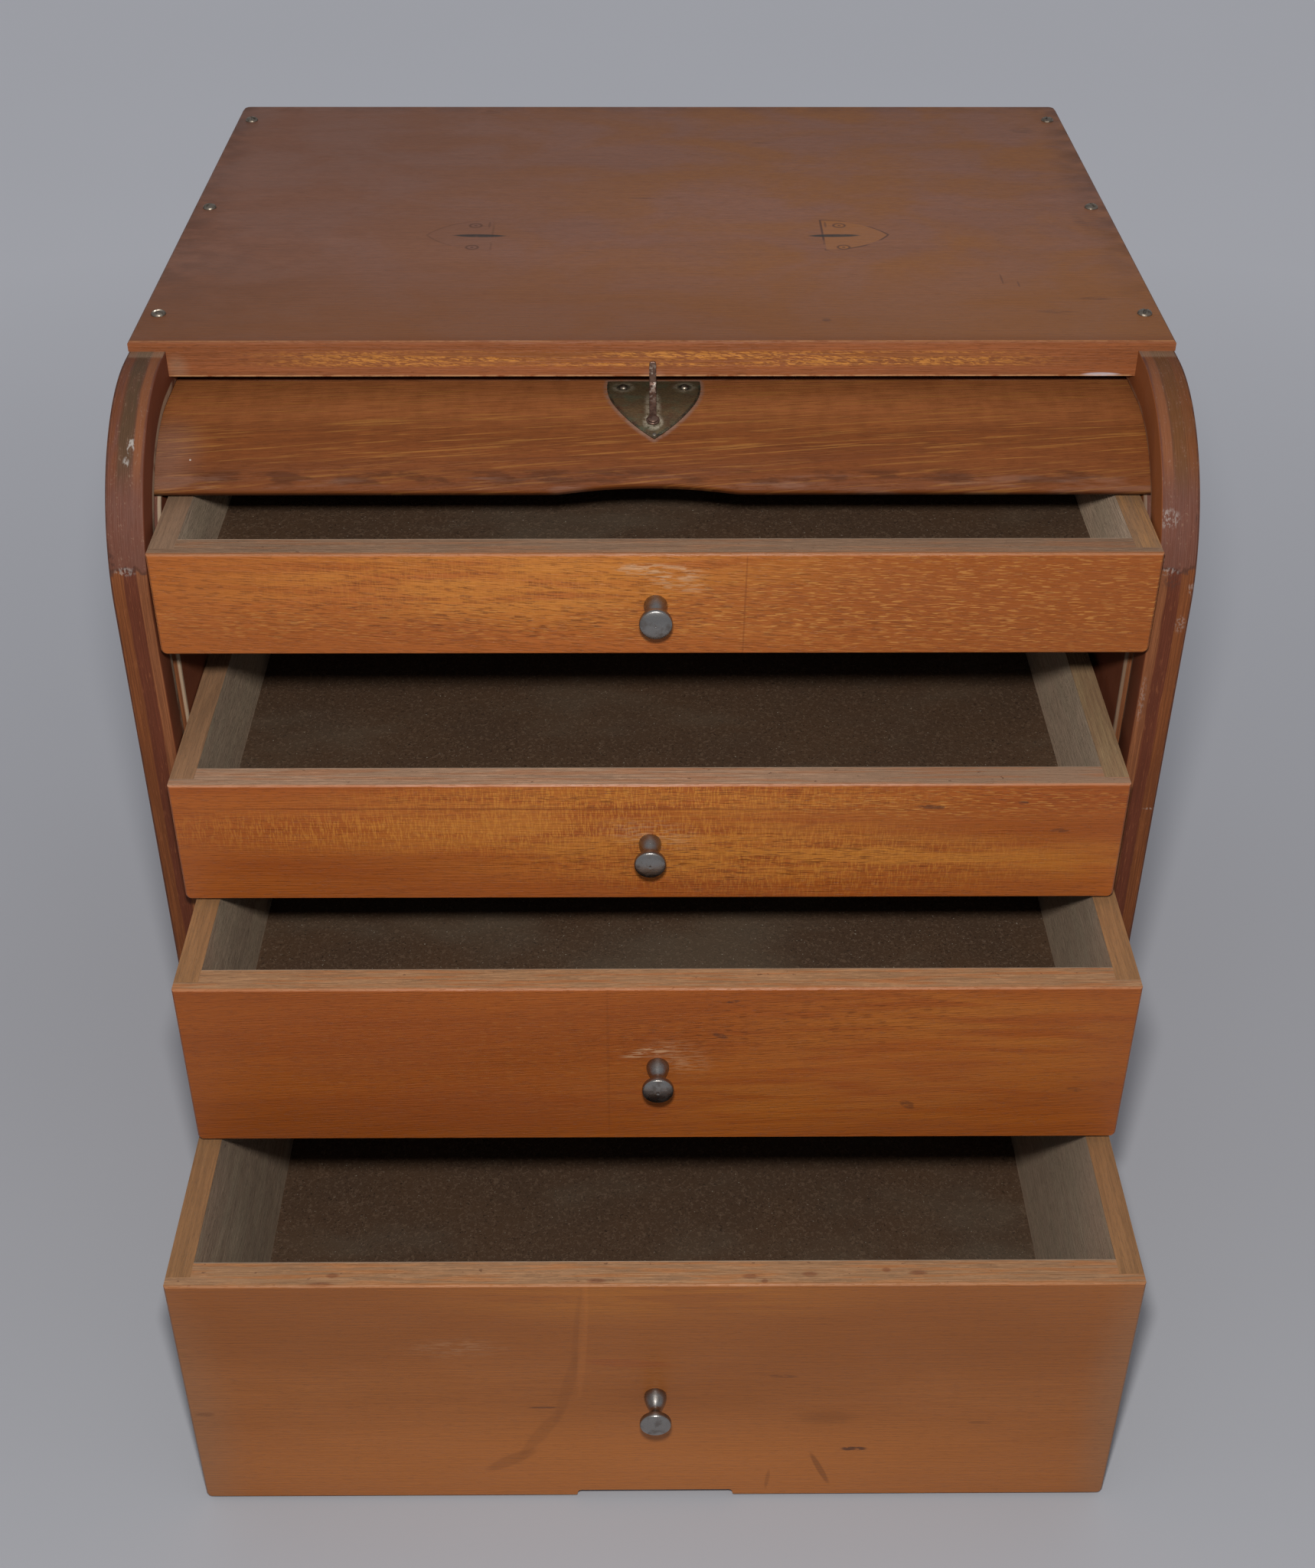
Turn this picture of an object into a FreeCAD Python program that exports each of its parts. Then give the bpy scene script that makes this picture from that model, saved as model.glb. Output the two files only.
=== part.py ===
import FreeCAD
import Part
import math
import os

# A bench cabinet for small tools, closed by a wooden roll front that runs in a groove
# of each side: up the front, back under the top, and down behind the drawers.
#
# Frame: the origin is on the floor under the middle of the case, +X to the right,
# +Y to the back, +Z up.  The drawers come out towards -Y.
# Angles on the front bend are measured from straight up, positive towards the front.
# A "run" is a length along the roll front's face, from the top of that bend towards
# the lead edge, so it is negative under the top.

# ---- case -------------------------------------------------------------------------
case_width = 340.0
case_height = 350.0
case_depth = 305.0
side_thickness = 12.0
nose_radius = 58.0          # rounded upper front corner of each side
top_step = 7.0              # the top starts this far behind the end of the nose's curve
top_thickness = 12.2
top_lip = 3.5               # the part of the top that lies over a side
top_edge_flat = 0.8
top_corner_round = 3.0
base_thickness = 5.0
back_thickness = 4.0
panel_housing = 6.0         # how far the base and the back are let into a side

# ---- roll front and its groove ------------------------------------------------------
groove_lip = 14.5           # wood between the groove and the front and top edges
groove_back_lip = 10.0      # wood between the groove and the back edge
groove_width = 8.0
groove_depth = 6.0
groove_spare = 67.8         # straight run of the groove below the roll front's end
back_bend_radius = 31.5     # outer wall of the groove at the back bend
roll_thickness = 5.0
roll_play = 1.2             # between the roll front's face and the groove's outer wall
roll_end_play = 0.5         # between its ends and the groove's bottom
roll_joint = 0.4            # between two stretches of it
roll_overlap = 13.0         # what stays level under the top once it is shut
lead_exposed = 36.6         # run of the lead edge
lead_covered = 19.0         # part of the lead board that lies level, under the top
lead_round = 1.5
kerf_width = 1.0
kerf_depth = 3.6
kerf_pitch = 8.0

# ---- latch on the roll front --------------------------------------------------------
shield_width = 30.6
shield_belly = 23.6         # width where its two sides bend in
shield_top_run = -17.0
shield_belly_run = 2.8
shield_tip_run = 18.0
shield_thickness = 0.7
shield_offset = 0.4         # how far the shield sits to the right of the middle
shield_rivet_spacing = 20.2
shield_rivet_run = -12.0
rivet_radius = 1.0
rivet_head_radius = 2.0
rivet_head_height = 1.0
hook_pivot_run = 10.7
hook_eye_radius = 2.2
hook_width = 2.3
hook_thickness = 0.8
hook_length = 16.2          # from the pivot to the start of its bend
hook_bend_radius = 1.2      # inner radius
hook_lug = 7.0              # straight part that stands in front of the top
hook_clearance = 0.3        # above the shield and under the rivet's head
pin_clearance = 0.06        # round a pin that turns or is driven in

# ---- drawers ------------------------------------------------------------------------
side_clearance = 1.6        # between a drawer and each side of the case
drawer_gap = 3.0            # between two fronts
floor_gap = 1.6             # under the lowest front
headroom = 14.5             # between the highest front and the roll front over it
drawer_back_gap = 6.8       # between a closed drawer and the roll front behind it
front_setback = 35.0        # closed fronts lie this far behind the front edge
front_thickness = 10.0
front_lap = 4.0             # what is left of a front over the end of a drawer side
front_edge_flat = 0.6
front_corner_round = 2.0
box_side_thickness = 8.0
box_back_thickness = 8.0
box_back_drop = 3.0         # a drawer's back is this much lower than its sides
box_rise = 3.8              # drawer sides end this far above the front's lower edge
bottom_thickness = 3.2
bottom_housing = 4.0        # how far the bottom is let into the sides and the front
runner_height = 5.4
runner_groove_height = 6.0
runner_groove_depth = 4.3
runner_set_back = 1.0       # runner and base start this far behind the closed fronts
runner_back_gap = 2.0       # between a runner's end and the roll front's groove

# Bottom drawer first: share of the height that all fronts fill together, how far the
# drawer stands open, shift to the right.  The shares are the fronts' heights in
# millimetres while the case keeps its height.  A place with no drawer keeps its runners.
drawers = {
    "drawer_4": (110.6, 157.6, 0.2),
    "drawer_3": (67.9, 96.4, 1.2),
    "drawer_2": (47.2, 53.9, -1.2),
    "open_bay": (36.0, None, 0.0),
    "drawer_1": (36.0, 40.9, 0.6),
}

# ---- finger notches -----------------------------------------------------------------
lead_notch_width = 57.0
lead_notch_depth = 2.3
lead_notch_shift = -1.5
front_notch_width = 58.0    # in the lower edge of the lowest front
front_notch_depth = 3.2
notch_ramp = 4.0            # length of the curved end of a notch

# ---- knobs and small fixings --------------------------------------------------------
# Screws and the shield's rivets are modelled by their heads, which stand on the surface.
knob_length = 13.0
knob_head_radius = 5.25
knob_rim_rise = 10.4        # where the head reaches its full width
knob_rim_height = 1.6
knob_face_radius = 3.9      # the flat middle of the head
knob_foot_radius = 3.7
knob_neck_radius = 1.85
knob_neck_rise = 5.5
knob_neck_length = 1.4
screw_head_radius = 2.5
screw_head_height = 1.5
top_screw_shares = (0.092, 0.504, 0.923)    # of the top's depth, from its front edge

# ---- places that follow from these --------------------------------------------------
half_width = case_width / 2
inner_half = half_width - side_thickness
front_y = -case_depth / 2
back_y = case_depth / 2
side_top = case_height - top_lip
top_under = case_height - top_thickness

bend_y = front_y + nose_radius
bend_z = side_top - nose_radius
top_front_y = bend_y + top_step
wall_radius = nose_radius - groove_lip
groove_top = side_top - groove_lip
back_wall_y = back_y - groove_back_lip
back_bend_y = back_wall_y - back_bend_radius
back_bend_z = groove_top - back_bend_radius

face_radius = wall_radius - roll_play
under_radius = face_radius - roll_thickness
roll_half = inner_half + groove_depth - roll_end_play
lead_angle = math.degrees(lead_exposed / face_radius)
back_face_radius = back_bend_radius - roll_play
back_under_radius = back_face_radius - roll_thickness
level_run = back_bend_y - bend_y
back_bend_run = math.pi / 2 * (back_face_radius + back_under_radius) / 2
roll_length = math.pi / 2 * face_radius + bend_z + roll_overlap
tail_run = roll_length - lead_exposed - level_run - back_bend_run
groove_tail = tail_run + groove_spare

closed_front_y = front_y + front_setback
drawer_depth = back_wall_y - roll_play - roll_thickness - drawer_back_gap - closed_front_y
stack_top = bend_z + under_radius - headroom
fronts_height = stack_top - floor_gap - drawer_gap * (len(drawers) - 1)
runner_front_y = closed_front_y + front_thickness + runner_set_back
runner_back_y = back_wall_y - groove_width - runner_back_gap
box_half = inner_half - side_clearance

RIGHT = FreeCAD.Vector(1, 0, 0)
BACK = FreeCAD.Vector(0, 1, 0)
UP = FreeCAD.Vector(0, 0, 1)
ORIGIN = FreeCAD.Vector(0, 0, 0)
OVER = 1.0                  # how far a cutting tool reaches past what it cuts


# ---- shapes in general --------------------------------------------------------------
def block(x0, x1, y0, y1, z0, z1):
    """A rectangular piece between three pairs of planes."""
    return Part.makeBox(x1 - x0, y1 - y0, z1 - z0, FreeCAD.Vector(x0, y0, z0))


def line(start, end):
    return Part.LineSegment(start, end).toShape()


def arc(start, middle, end):
    return Part.Arc(start, middle, end).toShape()


def prism(edges, push):
    """The solid that a closed outline sweeps when it is pushed along a vector."""
    return Part.Face(Part.Wire(edges)).extrude(push)


def turned(edges):
    """The solid of a half outline in the XZ plane, turned about Z."""
    return Part.Face(Part.Wire(edges)).revolve(ORIGIN, UP, 360)


def polar(y, z, radius, angle):
    """The point at a radius and angle about an axis along X, angle 0 straight up."""
    turn = math.radians(angle)
    return FreeCAD.Vector(0, y - radius * math.sin(turn), z + radius * math.cos(turn))


def bent_block(y, z, inner, outer, start, end, x0, x1):
    """A block bent about an axis along X, between two radii and two angles."""
    middle = (start + end) / 2
    edges = [
        arc(polar(y, z, outer, start), polar(y, z, outer, middle), polar(y, z, outer, end)),
        line(polar(y, z, outer, end), polar(y, z, inner, end)),
        arc(polar(y, z, inner, end), polar(y, z, inner, middle), polar(y, z, inner, start)),
        line(polar(y, z, inner, start), polar(y, z, outer, start)),
    ]
    solid = prism(edges, RIGHT * (x1 - x0))
    solid.translate(RIGHT * x0)
    return solid


def edges_where(solid, test):
    """The edges of a solid whose two ends and middle all pass a test."""
    found = []
    for edge in solid.Edges:
        points = [vertex.Point for vertex in edge.Vertexes]
        points.append(edge.CenterOfMass)
        if all(test(point) for point in points):
            found.append(edge)
    return found


def near(a, b):
    return abs(a - b) < 1e-4


def pin(radius, low, high):
    """A round pin along Z."""
    return Part.makeCylinder(radius, high - low, UP * low)


def notch_cutter(width, depth, ramp, push):
    """A shallow finger notch above the XY plane, whose ends rise in an S."""
    half = width / 2
    inset = half - ramp
    bulge = ramp * 0.04 + depth * 0.09
    foot_left = FreeCAD.Vector(-half, 0, 0)
    rise_left = FreeCAD.Vector(-half + ramp / 2, 0, depth / 2)
    top_left = FreeCAD.Vector(-inset, 0, depth)
    top_right = FreeCAD.Vector(inset, 0, depth)
    rise_right = FreeCAD.Vector(half - ramp / 2, 0, depth / 2)
    foot_right = FreeCAD.Vector(half, 0, 0)
    low_left = (foot_left + rise_left) * 0.5 + FreeCAD.Vector(bulge, 0, -bulge)
    high_left = (rise_left + top_left) * 0.5 + FreeCAD.Vector(-bulge, 0, bulge)
    high_right = (rise_right + top_right) * 0.5 + FreeCAD.Vector(bulge, 0, bulge)
    low_right = (foot_right + rise_right) * 0.5 + FreeCAD.Vector(-bulge, 0, -bulge)
    edges = [
        arc(foot_left, low_left, rise_left),
        arc(rise_left, high_left, top_left),
        line(top_left, top_right),
        arc(top_right, high_right, rise_right),
        arc(rise_right, low_right, foot_right),
        line(foot_right, foot_right - UP * OVER),
        line(foot_right - UP * OVER, foot_left - UP * OVER),
        line(foot_left - UP * OVER, foot_left),
    ]
    return prism(edges, BACK * push)


# ---- case ---------------------------------------------------------------------------
def roll_groove(x0, x1):
    """What is routed out of a side for the roll front, between two planes."""
    inner_radius = wall_radius - groove_width
    back_inner = back_bend_radius - groove_width
    tail_z = back_bend_z - groove_tail
    tail_y = back_wall_y - groove_width / 2
    front_leg = block(x0, x1, front_y + groove_lip, front_y + groove_lip + groove_width,
                      -OVER, bend_z)
    front_bend = bent_block(bend_y, bend_z, inner_radius, wall_radius, 0, 90, x0, x1)
    level = block(x0, x1, bend_y, back_bend_y, groove_top - groove_width, groove_top)
    back_bend = bent_block(back_bend_y, back_bend_z, back_inner, back_bend_radius, -90, 0, x0, x1)
    tail = block(x0, x1, back_wall_y - groove_width, back_wall_y, tail_z, back_bend_z)
    tail_end = Part.makeCylinder(groove_width / 2, x1 - x0,
                                 FreeCAD.Vector(x0, tail_y, tail_z), RIGHT)
    return front_leg.multiFuse([front_bend, level, back_bend, tail, tail_end])


def case_side(direction):
    """A side, -1 left or +1 right: rounded nose, roll groove, housings for base and back."""
    corner = polar(0, 0, nose_radius, 45)
    low_front = FreeCAD.Vector(0, front_y, 0)
    nose_start = FreeCAD.Vector(0, front_y, bend_z)
    nose_middle = FreeCAD.Vector(0, bend_y, bend_z) + corner
    nose_end = FreeCAD.Vector(0, bend_y, side_top)
    high_back = FreeCAD.Vector(0, back_y, side_top)
    low_back = FreeCAD.Vector(0, back_y, 0)
    edges = [
        line(low_front, nose_start),
        arc(nose_start, nose_middle, nose_end),
        line(nose_end, high_back),
        line(high_back, low_back),
        line(low_back, low_front),
    ]
    side = prism(edges, RIGHT * side_thickness)
    side.translate(RIGHT * inner_half)
    reach = inner_half + panel_housing
    side = side.cut(roll_groove(inner_half - OVER, inner_half + groove_depth))
    side = side.cut(block(inner_half - OVER, reach, runner_front_y, back_y + OVER,
                          -OVER, base_thickness))
    side = side.cut(block(inner_half - OVER, reach, back_y - back_thickness, back_y + OVER,
                          base_thickness - OVER, top_under))
    if direction < 0:
        side = side.mirror(ORIGIN, RIGHT)
    return side


def top_board():
    """The top, let down between the sides, with a thin lip over each of them."""
    board = block(-half_width, half_width, top_front_y, back_y, top_under, case_height)
    corners = edges_where(board, lambda p: near(p.y, back_y) and near(abs(p.x), half_width))
    board = board.makeFillet(top_corner_round, corners)
    rim = edges_where(board, lambda p: near(p.z, case_height))
    board = board.makeChamfer(top_edge_flat, rim)
    for direction in (-1, 1):
        x0, x1 = sorted((direction * inner_half, direction * (half_width + OVER)))
        board = board.cut(block(x0, x1, top_front_y - OVER, back_y + OVER,
                                top_under - OVER, side_top))
    return board


def top_screws():
    """The heads of the six screws that hold the top to the sides."""
    heads = []
    for direction in (-1, 1):
        x = direction * (half_width - side_thickness / 2)
        for share in top_screw_shares:
            y = top_front_y + share * (back_y - top_front_y)
            head = pin(screw_head_radius, case_height, case_height + screw_head_height)
            heads.append(head.translated(FreeCAD.Vector(x, y, 0)))
    return Part.makeCompound(heads)


def base_board():
    """The thin floor of the case, let into both sides, behind the lowest front."""
    reach = inner_half + panel_housing
    return block(-reach, reach, runner_front_y, back_y, 0, base_thickness)


def back_panel():
    """The thin back, let into both sides."""
    reach = inner_half + panel_housing
    return block(-reach, reach, back_y - back_thickness, back_y, base_thickness, top_under)


# ---- drawers ------------------------------------------------------------------------
def drawer_places():
    """Each place in the case from the floor up: name, lower and upper edge, pull, shift."""
    places = []
    low = floor_gap
    shares = sum(share for share, pull, shift in drawers.values())
    for name, (share, pull, shift) in drawers.items():
        height = fronts_height * share / shares
        places.append((name, low, low + height, pull, shift))
        low = low + height + drawer_gap
    return places


def runner_middle(low, high):
    """Height of the middle of the groove in a drawer's side, and of its runner."""
    return (low + box_rise + high) / 2


def runner(direction, low, high):
    """A hardwood strip on a side of the case, which a drawer's groove slides on."""
    middle = runner_middle(low, high)
    x0, x1 = sorted((direction * inner_half, direction * (inner_half - runner_groove_depth)))
    return block(x0, x1, runner_front_y, runner_back_y,
                 middle - runner_height / 2, middle + runner_height / 2)


def drawer_front(low, high, notched):
    """A front with rebated ends, a groove for the bottom and eased edges."""
    back = front_thickness
    front = block(-box_half, box_half, 0, back, low, high)
    corners = edges_where(front, lambda p: near(p.z, low) and near(abs(p.x), box_half))
    front = front.makeFillet(front_corner_round, corners)
    rim = edges_where(front, lambda p: near(p.y, 0))
    front = front.makeChamfer(front_edge_flat, rim)
    inner = box_half - box_side_thickness
    for direction in (-1, 1):
        x0, x1 = sorted((direction * inner, direction * (box_half + OVER)))
        front = front.cut(block(x0, x1, front_lap, back + OVER, low - OVER, high + OVER))
    front = front.cut(block(-inner - OVER, inner + OVER, back - bottom_housing, back + OVER,
                            low + box_rise, low + box_rise + bottom_thickness))
    if notched:
        notch = notch_cutter(front_notch_width, front_notch_depth, notch_ramp, back + 2 * OVER)
        front = front.cut(notch.translated(FreeCAD.Vector(0, -OVER, low)))
    return front


def drawer_side(direction, low, high):
    """A drawer side, grooved outside for the runner and rebated below for the bottom."""
    inner = box_half - box_side_thickness
    foot = low + box_rise
    middle = runner_middle(low, high)
    side = block(inner, box_half, front_lap, drawer_depth, foot, high)
    side = side.cut(block(box_half - runner_groove_depth, box_half + OVER,
                          front_lap - OVER, drawer_depth + OVER,
                          middle - runner_groove_height / 2, middle + runner_groove_height / 2))
    side = side.cut(block(inner - OVER, inner + bottom_housing, front_lap - OVER,
                          drawer_depth + OVER, foot - OVER, foot + bottom_thickness))
    if direction < 0:
        side = side.mirror(ORIGIN, RIGHT)
    return side


def drawer_back(low, high):
    """A drawer's back, between its sides and on its bottom."""
    inner = box_half - box_side_thickness
    return block(-inner, inner, drawer_depth - box_back_thickness, drawer_depth,
                 low + box_rise + bottom_thickness, high - box_back_drop)


def drawer_bottom(low):
    """A thin hard bottom, let into the front and both sides."""
    reach = box_half - box_side_thickness + bottom_housing
    foot = low + box_rise
    sheet = block(-reach, reach, front_thickness, drawer_depth, foot, foot + bottom_thickness)
    tongue = block(-reach + bottom_housing, reach - bottom_housing,
                   front_thickness - bottom_housing, front_thickness,
                   foot, foot + bottom_thickness)
    return sheet.fuse(tongue).removeSplitter()


def drawer_knob(rise):
    """A turned knob: conical foot, narrow neck and a mushroom head with a bevelled rim."""
    foot = RIGHT * knob_foot_radius
    neck_low = FreeCAD.Vector(knob_neck_radius, 0, knob_neck_rise)
    neck_high = FreeCAD.Vector(knob_neck_radius, 0, knob_neck_rise + knob_neck_length)
    rim_low = FreeCAD.Vector(knob_head_radius, 0, knob_rim_rise)
    rim_high = FreeCAD.Vector(knob_head_radius, 0, knob_rim_rise + knob_rim_height)
    face_edge = FreeCAD.Vector(knob_face_radius, 0, knob_length)
    edges = [
        line(ORIGIN, foot),
        line(foot, neck_low),
        line(neck_low, neck_high),
        line(neck_high, rim_low),
        line(rim_low, rim_high),
        line(rim_high, face_edge),
        line(face_edge, UP * knob_length),
        line(UP * knob_length, ORIGIN),
    ]
    knob = turned(edges)
    knob.rotate(ORIGIN, RIGHT, 90)
    knob.translate(UP * rise)
    return knob


def drawer_pieces(name, low, high, pull, shift, notched):
    """Every piece of one drawer, pulled out and shifted to where it stands."""
    rise = (low + high) / 2
    pieces = {
        name + "_front": drawer_front(low, high, notched),
        name + "_side_left": drawer_side(-1, low, high),
        name + "_side_right": drawer_side(1, low, high),
        name + "_back": drawer_back(low, high),
        name + "_bottom": drawer_bottom(low),
        name + "_knob": drawer_knob(rise),
    }
    place = FreeCAD.Vector(shift, closed_front_y - pull, 0)
    for piece in pieces.values():
        piece.translate(place)
    return pieces


# ---- roll front ---------------------------------------------------------------------
def bent_strip(inner, outer, end_angle, level, x_half):
    """A strip that lies level behind the front bend and follows it down to an angle."""
    rear_y = bend_y + level
    half_angle = end_angle / 2
    rear_high = FreeCAD.Vector(0, rear_y, bend_z + outer)
    rear_low = FreeCAD.Vector(0, rear_y, bend_z + inner)
    edges = [
        line(rear_low, rear_high),
        line(rear_high, polar(bend_y, bend_z, outer, 0)),
        arc(polar(bend_y, bend_z, outer, 0), polar(bend_y, bend_z, outer, half_angle),
            polar(bend_y, bend_z, outer, end_angle)),
        line(polar(bend_y, bend_z, outer, end_angle), polar(bend_y, bend_z, inner, end_angle)),
        arc(polar(bend_y, bend_z, inner, end_angle), polar(bend_y, bend_z, inner, half_angle),
            polar(bend_y, bend_z, inner, 0)),
        line(polar(bend_y, bend_z, inner, 0), rear_low),
    ]
    strip = prism(edges, RIGHT * 2 * x_half)
    strip.translate(RIGHT * -x_half)
    return strip


def on_roll(piece, x, run, height):
    """Stands a piece made along Z on the roll front, at a run and a height above its face."""
    angle = math.degrees(max(run, 0) / face_radius)
    spot = polar(bend_y, bend_z, face_radius + height, angle)
    level = -min(run, 0)
    piece.rotate(ORIGIN, RIGHT, angle)
    piece.translate(spot + FreeCAD.Vector(x, level, 0))
    return piece


def hook_rivet_bored(piece):
    """A piece with the hole of the rivet that the hook turns on."""
    depth = roll_thickness + OVER
    hole = pin(rivet_radius + pin_clearance, -depth, depth)
    return piece.cut(on_roll(hole, 0, hook_pivot_run, 0))


def roll_lead():
    """The lead board: the stiff first stretch, with a rounded, notched lead edge."""
    lead = bent_strip(under_radius, face_radius, lead_angle, lead_covered, roll_half)
    end_high = polar(bend_y, bend_z, face_radius, lead_angle)
    end_low = polar(bend_y, bend_z, under_radius, lead_angle)

    def on_end(point):
        return any(near(point.y, end.y) and near(point.z, end.z) for end in (end_high, end_low))

    lead = lead.makeFillet(lead_round, edges_where(lead, on_end))
    notch = notch_cutter(lead_notch_width, lead_notch_depth, notch_ramp, roll_thickness + 2 * OVER)
    notch.rotate(ORIGIN, RIGHT, lead_angle - 90)
    notch.translate(polar(bend_y, bend_z, face_radius + OVER, lead_angle))
    notch.translate(RIGHT * lead_notch_shift)
    return hook_rivet_bored(lead.cut(notch))


def kerf_places(length):
    """Evenly spaced saw kerfs in a stretch, half a pitch or more from its ends."""
    count = int(length / kerf_pitch)
    first = (length - (count - 1) * kerf_pitch) / 2
    return [first + kerf_pitch * number for number in range(count)]


def roll_top_run():
    """The level stretch under the top, kerfed below so that it bends."""
    start = bend_y + lead_covered + roll_joint
    end = back_bend_y
    top = bend_z + face_radius
    low = top - roll_thickness
    stretch = block(-roll_half, roll_half, start, end, low, top)
    kerfs = [block(-roll_half - OVER, roll_half + OVER, start + place - kerf_width / 2,
                   start + place + kerf_width / 2, low - OVER, low + kerf_depth)
             for place in kerf_places(end - start)]
    return stretch.cut(Part.makeCompound(kerfs))


def roll_back_bend():
    """The stretch that bends down behind the drawers."""
    middle_radius = (back_face_radius + back_under_radius) / 2
    gap_angle = math.degrees(roll_joint / middle_radius)
    start = -gap_angle
    end = -90.0
    stretch = bent_block(back_bend_y, back_bend_z, back_under_radius, back_face_radius,
                         end, start, -roll_half, roll_half)
    kerfs = []
    for place in kerf_places(back_bend_run):
        kerf = block(-roll_half - OVER, roll_half + OVER, -kerf_width / 2, kerf_width / 2,
                     back_under_radius - OVER, back_under_radius + kerf_depth)
        kerf.rotate(ORIGIN, RIGHT, -90 * place / back_bend_run)
        kerf.translate(FreeCAD.Vector(0, back_bend_y, back_bend_z))
        kerfs.append(kerf)
    return stretch.cut(Part.makeCompound(kerfs))


def roll_back_run():
    """The last stretch, hanging straight down between the drawers and the back."""
    outer = back_bend_y + back_face_radius
    inner = outer - roll_thickness
    top = back_bend_z - roll_joint
    stretch = block(-roll_half, roll_half, inner, outer, top - tail_run, top)
    kerfs = [block(-roll_half - OVER, roll_half + OVER, inner - OVER, inner + kerf_depth,
                   top - place - kerf_width / 2, top - place + kerf_width / 2)
             for place in kerf_places(tail_run)]
    return stretch.cut(Part.makeCompound(kerfs))


# ---- latch --------------------------------------------------------------------------
def plan_y(run):
    """How far back a point of the roll front's face lies, from its run."""
    if run < 0:
        return bend_y - run
    return bend_y - face_radius * math.sin(run / face_radius)


def latch_shield():
    """A thin shield, its two sides arcs that meet in a point, bent to the roll front."""
    tip_angle = math.degrees((shield_tip_run + OVER) / face_radius)
    shell = bent_strip(face_radius, face_radius + shield_thickness, tip_angle,
                       -shield_top_run, shield_width)
    left_top = FreeCAD.Vector(-shield_width / 2, plan_y(shield_top_run), 0)
    right_top = FreeCAD.Vector(shield_width / 2, plan_y(shield_top_run), 0)
    left_belly = FreeCAD.Vector(-shield_belly / 2, plan_y(shield_belly_run), 0)
    right_belly = FreeCAD.Vector(shield_belly / 2, plan_y(shield_belly_run), 0)
    tip = FreeCAD.Vector(0, plan_y(shield_tip_run), 0)
    edges = [
        line(left_top, right_top),
        arc(right_top, right_belly, tip),
        arc(tip, left_belly, left_top),
    ]
    outline = prism(edges, UP * case_height)
    shield = shell.common(outline)
    shield.translate(RIGHT * shield_offset)
    return hook_rivet_bored(shield)


def shield_rivets():
    """The heads of two rivets near the shield's upper corners."""
    heads = []
    for direction in (-1, 1):
        head = pin(rivet_head_radius, 0, rivet_head_height)
        x = shield_offset + direction * shield_rivet_spacing / 2
        heads.append(on_roll(head, x, shield_rivet_run, shield_thickness))
    return Part.makeCompound(heads)


def hook_rivet():
    """The rivet that the hook turns on: a round head, and a shank through the roll front."""
    stand = 2 * hook_clearance + hook_thickness
    depth = roll_thickness + shield_thickness
    rivet = pin(rivet_radius, -depth, stand).fuse(
        pin(rivet_head_radius, stand, stand + rivet_head_height))
    return on_roll(rivet, 0, hook_pivot_run, shield_thickness)


def latch_hook():
    """A flat strip with an eye at one end, bent up in front of the top at the other."""
    pivot_angle = math.degrees(hook_pivot_run / face_radius)
    turn = 90.0 - pivot_angle
    low = hook_clearance
    high = low + hook_thickness
    outer_radius = hook_bend_radius + hook_thickness
    bend_centre = FreeCAD.Vector(0, hook_length, high + hook_bend_radius)

    def around(radius, angle):
        """A point of the bend, angle 0 at its lowest."""
        swing = math.radians(angle)
        return bend_centre + FreeCAD.Vector(0, radius * math.sin(swing), -radius * math.cos(swing))

    rise = math.radians(turn)
    lug = FreeCAD.Vector(0, math.cos(rise), math.sin(rise)) * hook_lug
    edges = [
        line(UP * low, around(outer_radius, 0)),
        arc(around(outer_radius, 0), around(outer_radius, turn / 2), around(outer_radius, turn)),
        line(around(outer_radius, turn), around(outer_radius, turn) + lug),
        line(around(outer_radius, turn) + lug, around(hook_bend_radius, turn) + lug),
        line(around(hook_bend_radius, turn) + lug, around(hook_bend_radius, turn)),
        arc(around(hook_bend_radius, turn), around(hook_bend_radius, turn / 2),
            around(hook_bend_radius, 0)),
        line(around(hook_bend_radius, 0), UP * high),
        line(UP * high, UP * low),
    ]
    strip = prism(edges, RIGHT * hook_width)
    strip.translate(RIGHT * (-hook_width / 2))
    hook = strip.fuse(pin(hook_eye_radius, low, high))
    hook = hook.cut(pin(rivet_radius + pin_clearance, low - OVER, high + OVER))
    return on_roll(hook, 0, hook_pivot_run, shield_thickness)


# ---- the whole cabinet --------------------------------------------------------------
def cabinet_pieces():
    """Every piece by name, where it stands with the roll front up and the drawers open."""
    pieces = {
        "case_side_left": case_side(-1),
        "case_side_right": case_side(1),
        "top_board": top_board(),
        "top_screws": top_screws(),
        "base_board": base_board(),
        "back_panel": back_panel(),
        "roll_lead": roll_lead(),
        "roll_top_run": roll_top_run(),
        "roll_back_bend": roll_back_bend(),
        "roll_back_run": roll_back_run(),
        "latch_shield": latch_shield(),
        "shield_rivets": shield_rivets(),
        "hook_rivet": hook_rivet(),
        "latch_hook": latch_hook(),
    }
    places = drawer_places()
    for name, low, high, pull, shift in places:
        pieces["runner_left_" + name] = runner(-1, low, high)
        pieces["runner_right_" + name] = runner(1, low, high)
        if pull is not None:
            lowest = name == places[0][0]
            pieces.update(drawer_pieces(name, low, high, pull, shift, lowest))
    return pieces


def main():
    os.makedirs("parts", exist_ok=True)
    for name, shape in cabinet_pieces().items():
        shape.exportStep("parts/" + name + ".step")


main()
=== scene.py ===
import math

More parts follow.
